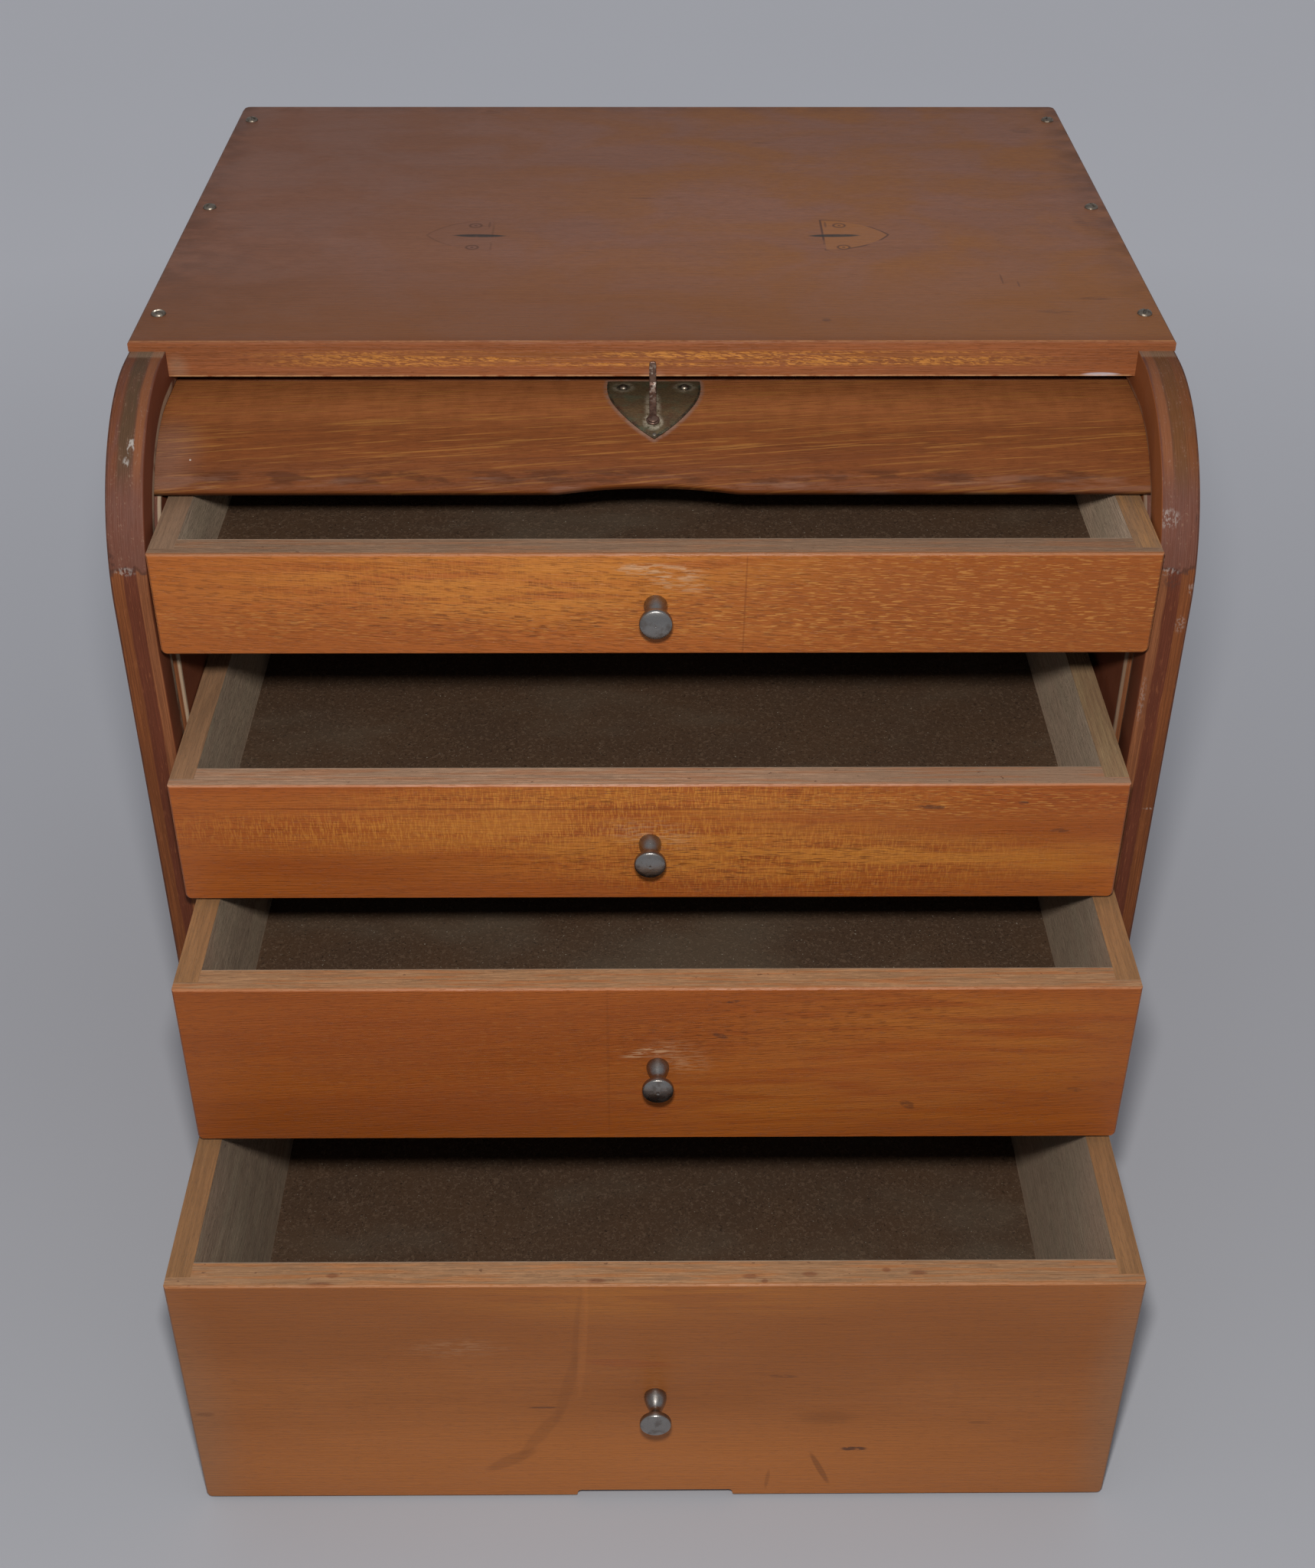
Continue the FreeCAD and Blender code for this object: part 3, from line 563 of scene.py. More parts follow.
def ply_edge(tree, where, y, z, reach, right, strands, haze, look):
    """Colour of the sides' edges, and the share that is 1 on the worn nose.

    An edge shows stripes of ply: orange, dark red and orange.  The curved nose is rubbed to
    a dull red-brown that ends in a small knocked step; near its top its plies show through.
    """
    low, high = SIDE_LOW[0], SIDE_HIGH[0]
    core_low, core_high = low + 3.9, low + 8.1
    step, show_through, top_rub = 304.0, 327.0, 345.5
    wander = cloud(tree, where, (4.0, 34.0, 34.0), 8, 0.2, 0.8)
    across = add(tree, "ShaderNodeMath", {0: wander, 1: 0.9, 2: reach},
                 operation="MULTIPLY_ADD")
    fleck = cloud(tree, where, (0.5, 5.0, 5.0), 12, 0.60, 0.68, 2.0)
    rub = cloud(tree, where, (3.0, 14.0, 14.0), 14, 0.34, 0.64, 5.0, 0.4)
    grit = cloud(tree, where, (0.5, 0.9, 0.9), 16, 0.56, 0.66, 2.0)
    scrape = cloud(tree, where, (0.7, 2.2, 1.3), 17, 0.46, 0.58, 4.0)
    chips = cloud(tree, where, (1.0, 3.4, 3.4), 19, 0.36, 0.50, 4.0)
    ragged = add(tree, "ShaderNodeMath", {
        0: cloud(tree, where, (3.0, 5.0, 5.0), 13, 0.2, 0.8), 1: 4.0, 2: z},
        operation="MULTIPLY_ADD")
    nose = zone(tree, ragged, step, soft=1.2)
    upper = zone(tree, z, show_through, soft=14.0)
    dark = shade(look.ply_worn, 0.55)
    edge = paint(tree, look.ply_outer,
                 (look.ply_inner, zone(tree, across, high=core_low, soft=0.5)),
                 (look.ply_core, zone(tree, across, core_low, core_high, 0.5)),
                 (shade(look.ply_core, 0.7), zone(tree, reach, high - 0.55, soft=0.4), 0.8),
                 (shade(look.ply_core, 0.6), strands, 0.45),
                 (shade(look.ply_inner, 1.5), fleck, 0.25),
                 (look.ply_worn, nose, 0.94), (shade(look.ply_core, 1.05), nose, rub, 0.3),
                 (look.ply_inner, nose, upper, zone(tree, across, low + 1.2, low + 4.0, 0.8),
                  0.85),
                 (look.ply_olive, nose, upper, zone(tree, across, low + 4.2, low + 8.8, 1.6),
                  0.8),
                 (look.ply_brown, nose, upper, right, zone(tree, across, low + 4.2, soft=1.6),
                  0.8),
                 (shade(look.ply_outer, 0.9), nose, upper,
                  zone(tree, across, low + 8.8, soft=1.6), rub, 0.6),
                 (shade(look.ply_worn, 1.5), nose, haze, 0.2),
                 (look.raw_edge, nose, grit, haze, 0.22),
                 (dark, zone(tree, ragged, step - 1.2, step + 0.2, 1.0), 0.8),
                 (look.raw_edge, zone(tree, y, TOP_LOW[1] - 4.5, soft=2.0),
                  zone(tree, z, top_rub, soft=1.0), 0.3))
    # Chalk marks are pale scuffs; the first, on the left nose, is a painted highlight.
    coats = {"chalk_and_glint": linear("#a9a29b"), "knock": dark}
    for kind, cover, centre, half in NOSE_MARKS:
        place = patch(tree, where, centre, half, soft=0.8)
        edge = paint(tree, edge, (coats[kind], place, scrape, cover))
    edge = paint(tree, edge, (dark, zone(tree, reach, high - 0.7, soft=0.6), chips, 0.75))
    return edge, nose


# Marks on the top's face.  Dirt: cover, x, y, half sizes and turn.  Nicks: x, y, half sizes.
TOP_DIRT = (
    (0.65, 3.0, 43.6, 10.0, 0.7, 2.0), (0.6, 45.0, 106.0, 3.6, 1.1, 0.0),
    (0.5, 85.0, 129.6, 2.4, 1.0, 0.0), (0.6, 152.0, 121.0, 5.0, 3.4, 0.0),
    (0.55, -65.4, 144.3, 3.2, 4.0, 0.0), (0.4, -120.4, 92.1, 2.6, 1.0, 0.0),
    (0.45, 111.3, 64.1, 3.0, 0.8, 0.0), (0.6, 134.8, -63.7, 6.0, 1.6, -8.0),
    (0.6, 150.1, -52.6, 6.0, 1.2, 0.0), (0.5, 160.0, 64.0, 5.0, 4.0, 30.0),
    (0.45, 157.0, 20.0, 2.0, 8.0, 10.0))
TOP_NICKS = ((120.6, -35.5, 0.35, 4.6), (125.8, -40.0, 0.35, 2.6), (57.6, -70.5, 1.5, 1.3))


def top_wood(look):
    """Mahogany board under old varnish.

    The broad face is dull, greyer to the left, warmer along its front, dirty at its borders
    and scratched.  The front edge is brighter; its two corners are rubbed pale.  A strip along
    the front of the face and the upper corner are painted darker: painted shade against the
    light they catch.
    """
    material, tree, where = start_material("aged_top_mahogany")
    x, y, z = add(tree, "ShaderNodeSeparateXYZ", {"Vector": where}).node.outputs[:]
    front, under, face = TOP_LOW[1], TOP_LOW[2], TOP_HIGH[2]
    base, height = wood(tree, where, 0, look.top_pale, look.top_deep, 21, 40.0, 0.3)
    reach = add(tree, "ShaderNodeMath", {0: x}, operation="ABSOLUTE")
    mottle = cloud(tree, where, (42.0, 30.0, 38.0), 25, 0.36, 0.66, 6.0, 0.6)
    grime = cloud(tree, where, (11.0, 9.0, 9.0), 26, 0.28, 0.68, 6.0)
    fuzz = cloud(tree, where, (2.8, 1.4, 2.0), 24, 0.36, 0.64, 3.0)
    dots = cloud(tree, where, (2.6, 1.1, 1.1), 27, 0.68, 0.76, 2.0)
    thread = cloud(tree, where, (6.0, 0.5, 5.0), 28, 0.45, 0.58, 4.0)
    glint = cloud(tree, where, (5.0, 5.0, 5.0), 48, 0.36, 0.58, 4.0)
    dark = shade(look.top_deep, 0.45)
    base = paint(tree, base,
                 (look.top_warm, mottle, zone(tree, x, -60.0, soft=220.0), 0.75),
                 (look.top_grey, zone(tree, x, high=-40.0, soft=180.0), 0.45),
                 (shade(look.top_deep, 0.75), fuzz, 0.22),
                 (dark, zone(tree, reach, TOP_HIGH[0] - 7.0, soft=20.0), grime, 0.8),
                 (dark, zone(tree, x, high=-124.0, soft=80.0),
                  zone(tree, y, high=0.0, soft=150.0), grime, 0.5),
                 (look.top_front, zone(tree, y, high=-42.0, soft=90.0), 0.85),
                 (look.top_warm, zone(tree, x, 60.0, soft=150.0),
                  zone(tree, y, high=-10.0, soft=120.0), 0.32),
                 (dark, zone(tree, x, high=-136.0, soft=50.0),
                  zone(tree, y, high=-30.0, soft=90.0), 0.2),
                 (dark, zone(tree, y, TOP_HIGH[1] - 6.0, soft=12.0), grime, 0.5),
                 # Painted shade: strip behind the front corner, against the light it catches.
                 (shade(look.top_edge, 0.6), zone(tree, y, high=front + 3.0, soft=9.0), 0.6),
                 (dark, dots, 0.35))
    for cover, *place, turn in TOP_DIRT:
        base = paint(tree, base, (dark, top_mark(tree, where, *place, turn, 0.9), thread, cover))
    for place in TOP_NICKS:
        base = paint(tree, base, (dark, top_mark(tree, where, *place), 0.6))
    base = handle_prints(tree, where, x, look, base)
    facing = zone(tree, y, high=front + 0.35, soft=0.3)
    arris = zone(tree, y, high=front + 0.6, soft=0.3)
    base = paint(tree, base, (top_front_edge(tree, where, z, reach, look), facing),
                 # Painted shade: the upper corner darkened against the light it catches.
                 (shade(look.top_edge, 0.75), arris, zone(tree, z, face - 0.9, soft=0.3), 0.6),
                 (look.top_line, arris, zone(tree, z, face - 0.3, soft=0.2), glint, 0.6),
                 (look.top_line, facing, zone(tree, z, high=under + 0.5, soft=0.3), glint, 0.6),
                 (look.back_wood, zone(tree, z, high=under + 0.15, soft=0.2),
                  zone(tree, y, front + 0.6, soft=0.3)))
    end_material(tree, base, (mottle, 0.48, 0.66), height, 0.06, Specular_IOR_Level=0.3)
    return material


def top_mark(tree, where, x, y, half_x, half_y, turn=0.0, soft=0.5):
    """A patch on the face of the top, turned about Z."""
    return patch(tree, where, (x, y, TOP_HIGH[2]), (half_x, half_y, 9.0), turn, soft, 2)


def handle_prints(tree, where, x, look, base):
    """Lays the prints of two leaf-shaped handle plates on the colour of the top.

    Each has a broken outline, a dark slot with a short scratch beside it, and two ringed
    screw holes; the left one has almost gone.
    """
    dark = shade(look.top_deep, 0.45)
    worn = cloud(tree, where, (4.0, 1.0, 5.0), 33, 0.24, 0.42)
    for side, edge_x, slot_x, ghost, leaf_cover, line_cover in (
            (-1, -57.0, -62.0, look.top_grey, 0.4, 0.4),
            (1, 61.5, 66.0, look.top_warm, 0.6, 0.95)):
        leaf, line = leaf_print(tree, where, x, side, edge_x, y=6.0, long=24.5, half=15.0)
        broken = cloud(tree, where, (12.0, 9.0, 9.0), 30 + side, 0.34, 0.52)
        slot = top_mark(tree, where, slot_x, 5.2, 9.0, 1.35, side * 1.5, 0.35)
        scratch = top_mark(tree, where, edge_x + side * 2, 16.0, 0.45, 2.8, soft=0.6)
        base = paint(tree, base, (shade(ghost, 1.15), leaf, leaf_cover),
                     (dark, line, broken, line_cover), (linear("#33312f"), slot, worn, 0.9),
                     (shade(dark, 1.3), scratch, 0.7))
        for hole_y in (15.2, -6.0):
            for coat, cover, half_x, half_y, soft in (
                    (dark, 0.85, 2.5, 2.3, 0.25), (shade(ghost, 1.25), 0.8, 1.7, 1.5, 0.25),
                    (dark, 0.8, 0.6, 0.6, 0.4)):
                ring = top_mark(tree, where, edge_x + side * 7.0, hole_y, half_x, half_y,
                                soft=soft)
                base = paint(tree, base, (coat, ring, cover))
    return base


def top_front_edge(tree, where, z, reach, look):
    """Colour of the top's front edge: a gold band of figure in rows of short level dashes
    half a millimetre high, a darker patch in the middle where the hook stands, a pale chip and
    a rubbed end."""
    front = TOP_LOW[1]
    base, _ = wood(tree, where, 0, look.top_edge, shade(look.top_edge, 0.74), 41, 5.0, 0.35,
                   raised=False)
    comb = cloud(tree, where, (2.4, 5.0, 0.45), 45, 0.45, 0.58, 2.0, 0.6, (0.0, 8.0, 0.0))
    rows = cloud(tree, where, (80.0, 5.0, 2.2), 49, 0.34, 0.52, 1.0)
    dash = cloud(tree, where, (5.0, 5.0, 0.28), 46, 0.48, 0.60, 2.0)
    swell = cloud(tree, where, (34.0, 9.0, 9.0), 47, 0.26, 0.52)
    band = zone(tree, z, 341.4, 346.4, 1.4)
    middle = zone(tree, reach, high=118.0, soft=60.0)
    # Darker patch on the edge's lower part, just behind the hook.
    dark_patch_at_hook = patch(tree, where, (0.4, front, 337.4), (3.2, 2.0, 2.4), soft=1.0)
    chip = patch(tree, where, (146.8, front, 338.2), (5.6, 2.0, 0.8), soft=0.7)
    rubbed = patch(tree, where, (-155.0, front, 341.0), (3.0, 2.0, 3.4), soft=1.6)
    return paint(tree, base, (shade(look.top_gold, 0.7), band, middle, swell, 0.2),
                 (shade(look.top_gold, 1.4), band, middle, comb, rows, 0.7),
                 (shade(look.top_edge, 0.55), band, dash, 0.5), (look.top_deep, dark_patch_at_hook, 0.8),
                 (linear("#c4bfc6"), chip, 0.7), (linear("#9a8a74"), rubbed, 0.22))


def lens(tree, where, centres, radius, soft=0.012):
    """1 where two discs across Z overlap, 0 outside: the outline of a leaf or a shield."""
    first, second = (patch(tree, where, centre, (radius, radius, 90.0), 0.0, soft, 2)
                     for centre in centres)
    return add(tree, "ShaderNodeMath", {0: first, 1: second}, operation="MULTIPLY")


def leaf_print(tree, where, x, side, edge_x, y, long, half):
    """The print of a pointed plate, as its inside and its outline.

    The plate is the overlap of two discs, cut off straight where it is 2 * half wide; their
    radius is half + c, where c = (long ** 2 - half ** 2) / (2 * half).
    """
    c = (long ** 2 - half ** 2) / (2 * half)
    centres = ((edge_x, y - c, TOP_HIGH[2]), (edge_x, y + c, TOP_HIGH[2]))
    areas = []
    for shrink in (0.0, 0.75):
        leaf = lens(tree, where, centres, half + c - shrink)
        limits = {"low": edge_x + shrink} if side > 0 else {"high": edge_x - shrink}
        areas.append(add(tree, "ShaderNodeMath", {
            0: leaf, 1: zone(tree, x, soft=0.4, **limits)}, operation="MULTIPLY"))
    line = add(tree, "ShaderNodeMath", {0: areas[0], 1: areas[1]}, operation="SUBTRACT")
    return areas[1], line


def thin_plywood(look):
    """Raw birch plywood of the back and the base: pale rotary veneer, dusty, with small
    steel nail heads along the upper and lower border of the back."""
    material, tree, where = start_material("raw_back_plywood")
    x, y, z = add(tree, "ShaderNodeSeparateXYZ", {"Vector": where}).node.outputs[:]
    nail_step, nail_low, nail_span = 52.0, 9.0, 160.0
    base, height = wood(tree, where, 0, look.back_wood, shade(look.back_wood, 0.68), 51, 16.0,
                        0.3)
    dust = cloud(tree, where, (60.0, 60.0, 45.0), 55, 0.4, 0.7, 4.0)
    near_x = add(tree, "ShaderNodeMath", {0: x, 1: nail_step}, operation="PINGPONG")
    above = add(tree, "ShaderNodeMath", {0: z, 1: -nail_low}, operation="ADD")
    near_z = add(tree, "ShaderNodeMath", {0: above, 1: nail_span}, operation="PINGPONG")
    spot = add(tree, "ShaderNodeCombineXYZ", {"X": near_x, "Z": near_z})
    head = patch(tree, spot, (nail_step, 0.0, 0.0), (1.5, 5.0, 1.5), soft=0.25)
    stain = patch(tree, spot, (nail_step, 0.0, 0.0), (3.5, 5.0, 3.5), soft=1.0)
    outside = zone(tree, y, BACK_HIGH[1] - 0.2, soft=0.2)
    base = paint(tree, base, (linear("#8d7860"), dust, 0.35),
                 (shade(look.back_wood, 0.4), stain, outside, 0.4),
                 (linear("#6d665c"), head, outside))
    end_material(tree, base, (dust, 0.68, 0.8), height, 0.12)
    return material


def runner_hardwood(look):
    """Beech strip, planed and waxed: close pale grain, dull where the drawers rub it."""
    material, tree, where = start_material("waxed_runner_beech")
    base, height = wood(tree, where, 1, look.runner_wood, shade(look.runner_wood, 0.72), 61,
                        4.0, 0.35)
    rub = cloud(tree, where, (8.0, 50.0, 2.0), 65, 0.4, 0.65)
    base = paint(tree, base, (shade(look.runner_wood, 0.6), rub, 0.35))
    end_material(tree, base, (rub, 0.42, 0.6), height, 0.08)
    return material


def unrolled(tree, where):
    """x, the run along the roll front, and the flat place that the two make up."""
    x = add(tree, "ShaderNodeSeparateXYZ", {"Vector": where})
    run = add(tree, "ShaderNodeAttribute", attribute_name="run").node.outputs["Fac"]
    return x, run, add(tree, "ShaderNodeCombineXYZ", {"X": x, "Y": run, "Z": 0.0})


def shield_print(tree, flat, latch, grow, soft):
    """1 inside the shield's outline, moved outward by a length, and 0 outside."""
    across, middle, radius = shield_circle(latch)
    centres = [(latch.shift / MM + d * across, middle, 0.0) for d in (-1, 1)]
    return lens(tree, flat, centres, radius + grow, soft)


def roll_wood(look):
    """Mahogany sheet, varnished outside: level grain that rises a little to the right, with
    thin gold streaks, a grubby strip along the lead edge, and pale dirt round the shield.
    The pattern lies on the run round the bend, so that it isn't stretched."""
    material, tree, where = start_material("varnished_roll_mahogany")
    x, run, flat = unrolled(tree, where)
    base, height = wood(tree, flat, 0, look.pale, look.deep, 71, 7.0, 0.3, (0.0, 0.0, -2.0))
    slant = (0.0, 0.0, -4.5)
    gold = cloud(tree, flat, (34.0, 0.9, 9.0), 75, 0.54, 0.66, 2.0, 0.5, slant)
    flame = cloud(tree, flat, (110.0, 6.0, 9.0), 76, 0.42, 0.60, 3.0, 1.0, slant)
    fine = cloud(tree, flat, (12.0, 0.8, 9.0), 69, 0.50, 0.62, 2.0, 0.0, slant)
    cross = cloud(tree, flat, (6.0, 16.0, 9.0), 77, 0.36, 0.68, 3.0)
    smudge = cloud(tree, flat, (14.0, 3.0, 9.0), 78, 0.44, 0.60, 5.0)
    pale_smudge = cloud(tree, flat, (30.0, 4.0, 9.0), 79, 0.50, 0.64, 4.0)
    dirt = cloud(tree, flat, (3.4, 3.4, 9.0), 70, 0.24, 0.52, 4.0)
    reach = add(tree, "ShaderNodeMath", {0: x}, operation="ABSOLUTE")
    end = look.exposed / MM
    halo = shield_print(tree, flat, scene_look().latch, 0.9, 0.045)
    rubbed = patch(tree, flat, (-156.0, 22.0, 0.0), (9.0, 11.0, 9.0), soft=1.6)
    speck = patch(tree, flat, (-147.5, 25.5, 0.0), (0.3, 0.3, 9.0), soft=0.6)
    base = paint(tree, base, (shade(look.pale, 1.25), flame, 0.3),
                 # Painted light: upper strip lightened against the shade under the top.
                 (look.upper, zone(tree, run, high=8.0, soft=20.0), 0.75),
                 (shade(look.deep, 0.8), cross, 0.22), (look.gold, gold, 0.5),
                 (shade(look.deep, 0.9), fine, 0.3),
                 (shade(look.deep, 0.35), zone(tree, run, end - 7.4, end - 2.6, 2.0), smudge,
                  zone(tree, reach, high=150.0, soft=40.0), 0.7),
                 (shade(look.deep, 0.85), zone(tree, run, end - 12.0, soft=6.0), 0.3),
                 (look.haze, zone(tree, run, end - 5.6, soft=1.6), pale_smudge, 0.2),
                 (look.haze, rubbed, 0.3), (look.haze, halo, dirt, 0.75),
                 (linear("#d8d2c8"), speck, 0.5),
                 (look.raw, zone(tree, reach, LEAD_HALF - 0.25, soft=0.3)))
    end_material(tree, base, (flame, 0.6, 0.72), height, 0.05, Specular_IOR_Level=0.2)
    return material


def roll_raw_wood(look):
    """The same mahogany sheet where it stays raw and saw-kerfed, behind the drawers; its
    front end, under the top, is still varnished."""
    material, tree, where = start_material("raw_roll_mahogany")
    y = add(tree, "ShaderNodeSeparateXYZ", {"Vector": where}).node.outputs["Y"]
    base, height = wood(tree, where, 0, look.raw, shade(look.raw, 0.66), 81, 6.0, 0.4)
    dust = cloud(tree, where, (40.0, 30.0, 30.0), 85, 0.4, 0.7, 4.0)
    base = paint(tree, base, (linear("#8f8371"), dust, 0.3),
                 (look.deep, zone(tree, y, high=RUN_FRONT + 14.0, soft=10.0)))
    end_material(tree, base, (dust, 0.6, 0.75), height, 0.12)
    return material


# What each front is like: the word its colours start with, the turn of its grain in degrees,
# the width of its streaks, how strongly the pores and the mottle show, how dull the rim's
# right end is, how strongly the rim is streaked, and how far its bright corner reaches.
FRONTS = {1: ("upper", 4.0, 8.0, 0.35, 0.1, 0.2, 0.2, 1.4),
          2: ("second", 0.0, 9.0, 0.3, 0.15, 0.9, 0.3, 0.7),
          3: ("third", -3.0, 16.0, 0.25, 0.3, 0.0, 0.4, 0.8),
          4: ("lowest", 0.0, 30.0, 0.14, 0.3, 0.2, 0.4, 0.8)}
# What shows on each front: kind, cover, x and height above its lower edge, half width, half
# height, and turn in degrees where it is turned.
FRONT_MARKS = {
    1: (("gold", 0.65, -15.0, 26.0, 105.0, 14.0), ("gold", 0.2, 75.0, 9.0, 70.0, 6.0),
        ("deep", 0.4, -105.0, 8.0, 60.0, 8.0), ("deep", 0.9, 115.0, 18.0, 95.0, 30.0),
        ("pores", 0.6, -50.0, 22.0, 115.0, 15.0), ("pores", 0.4, 20.0, 8.0, 150.0, 9.0),
        ("comb", 0.25, -60.0, 26.0, 60.0, 10.0), ("dashes", 0.5, 95.0, 20.0, 90.0, 20.0),
        ("dashes", 0.35, -60.0, 12.0, 110.0, 7.0), ("seam", 0.55, 28.5, 18.0, 0.3, 22.0, 1.0),
        ("scuff", 0.7, 2.0, 30.0, 13.0, 2.6, 4.0), ("scuff", 0.45, 8.0, 25.5, 9.0, 2.4, 10.0)),
    2: (("gold", 0.5, 0.0, 30.0, 95.0, 16.0), ("gold", 0.6, 80.0, 17.0, 85.0, 8.0),
        ("deep", 0.45, 110.0, 31.0, 70.0, 8.0), ("deep", 0.35, -120.0, 12.0, 50.0, 14.0),
        ("comb", 0.7, -55.0, 29.0, 95.0, 8.0), ("comb", 0.8, -5.0, 42.0, 75.0, 6.0),
        ("comb", 0.65, 45.0, 16.0, 75.0, 12.0), ("pores", 0.7, 25.0, 16.0, 80.0, 12.0),
        ("seam", 0.5, -30.0, 37.6, 125.0, 0.45, 0.2), ("pores", 0.6, 20.0, 42.0, 110.0, 5.0),
        ("dashes", 0.6, 95.0, 40.0, 60.0, 6.0), ("stain", 0.7, 91.0, 38.2, 5.5, 0.8, 2.0),
        ("stain", 0.8, 121.0, 39.8, 1.7, 0.6), ("stain", 0.5, 134.0, 28.4, 3.0, 0.8),
        ("scuff", 0.4, -1.0, 27.0, 13.0, 5.0, 8.0)),
    3: (("gold", 0.3, 95.0, 46.0, 60.0, 24.0), ("deep", 0.3, -85.0, 34.0, 75.0, 34.0),
        ("deep", 0.5, -100.0, 8.0, 70.0, 10.0), ("gold", 0.25, 50.0, 20.0, 70.0, 14.0),
        ("red", 0.2, -95.0, 48.0, 40.0, 14.0), ("red", 0.3, 84.0, 30.0, 40.0, 14.0),
        ("red", 0.25, -50.0, 18.0, 60.0, 12.0), ("pores", 0.6, 45.0, 52.0, 70.0, 14.0, -8.0),
        ("seam", 0.25, -15.2, 34.0, 0.5, 34.0), ("dashes", 0.12, -50.0, 40.0, 90.0, 28.0),
        ("scuff", 0.65, -3.0, 40.0, 8.0, 1.9, -12.0), ("scuff", 0.35, 8.0, 38.0, 9.0, 6.0, 30.0),
        ("stain", 0.7, 25.6, 62.4, 2.2, 0.6, -8.0), ("stain", 0.6, 21.7, 47.4, 2.6, 1.0, 20.0),
        ("stain", 0.5, 85.6, 15.6, 3.0, 1.6, 30.0), ("stain", 0.4, 141.0, 22.5, 2.6, 1.0, 10.0)),
    4: (("deep", 0.75, -100.0, 94.0, 90.0, 24.0), ("deep", 0.7, 85.0, 90.0, 75.0, 26.0),
        ("deep", 0.4, 20.0, 70.0, 60.0, 40.0), ("pale", 0.6, -60.0, 14.0, 120.0, 26.0),
        ("pale", 0.5, 80.0, 14.0, 110.0, 26.0), ("grey", 0.6, 162.0, 50.0, 14.0, 70.0),
        ("grey", 0.5, -162.0, 40.0, 16.0, 60.0), ("gold", 0.25, 0.0, 104.0, 60.0, 9.0),
        ("red", 0.3, -9.0, 72.0, 14.0, 2.0, 4.0), ("stroke", 0.25, -25.0, 88.0, 1.6, 20.0, 5.0),
        ("stroke", 0.25, -29.0, 60.0, 2.0, 18.0, 12.0),
        ("stroke", 0.25, -38.0, 36.0, 2.4, 15.0, 30.0),
        ("stroke", 0.35, -49.0, 20.5, 2.6, 10.0, 56.0),
        ("pale", 0.22, -23.5, 84.0, 1.4, 30.0, 3.0), ("stain", 0.85, 68.2, 25.9, 4.2, 1.2),
        ("stroke", 0.4, 58.0, 43.0, 9.0, 3.4), ("stroke", 0.6, 57.0, 15.0, 1.1, 9.0, -22.0),
        ("stroke", 0.4, 39.1, 9.0, 0.7, 5.0, 5.0), ("stain", 0.4, 42.5, 65.0, 5.0, 0.8, 4.0),
        ("stain", 0.6, -37.3, 49.0, 5.0, 0.5), ("stain", 0.35, -151.0, 46.0, 3.2, 1.0),
        ("stain", 0.3, 110.0, 40.0, 4.0, 0.8), ("scuff", 0.2, -65.0, 80.0, 14.0, 4.0)),
}
# Patterns that break up those marks: size, seed, the two levels, detail and warp.
FRONT_PATTERNS = {"gold": ((48.0, 9.0, 4.2), 150, 0.30, 0.60, 2.0, 0.4),
                  "pores": ((5.0, 9.0, 0.34), 160, 0.58, 0.64, 0.6, 0.0),
                  "dashes": ((4.0, 9.0, 0.34), 170, 0.60, 0.66, 0.6, 0.0),
                  "comb": ((0.45, 9.0, 3.6), 180, 0.48, 0.60, 2.0, 0.3),
                  "scuff": ((6.0, 9.0, 0.8), 190, 0.44, 0.60, 4.0, 0.8),
                  "stain": ((3.0, 9.0, 1.0), 200, 0.34, 0.52, 3.0, 0.0)}
# Brown spots on a front's upper edge: x, distance behind its face, and half width.
RIM_SPOTS = {4: ((30.4, 3.6, 2.4), (49.5, 4.4, 2.4), (84.3, 4.8, 2.6), (74.2, 6.0, 1.3),
                 (-106.4, 0.8, 3.6), (-103.0, 4.4, 1.8), (-18.7, 2.0, 2.8), (35.0, 1.6, 1.0))}


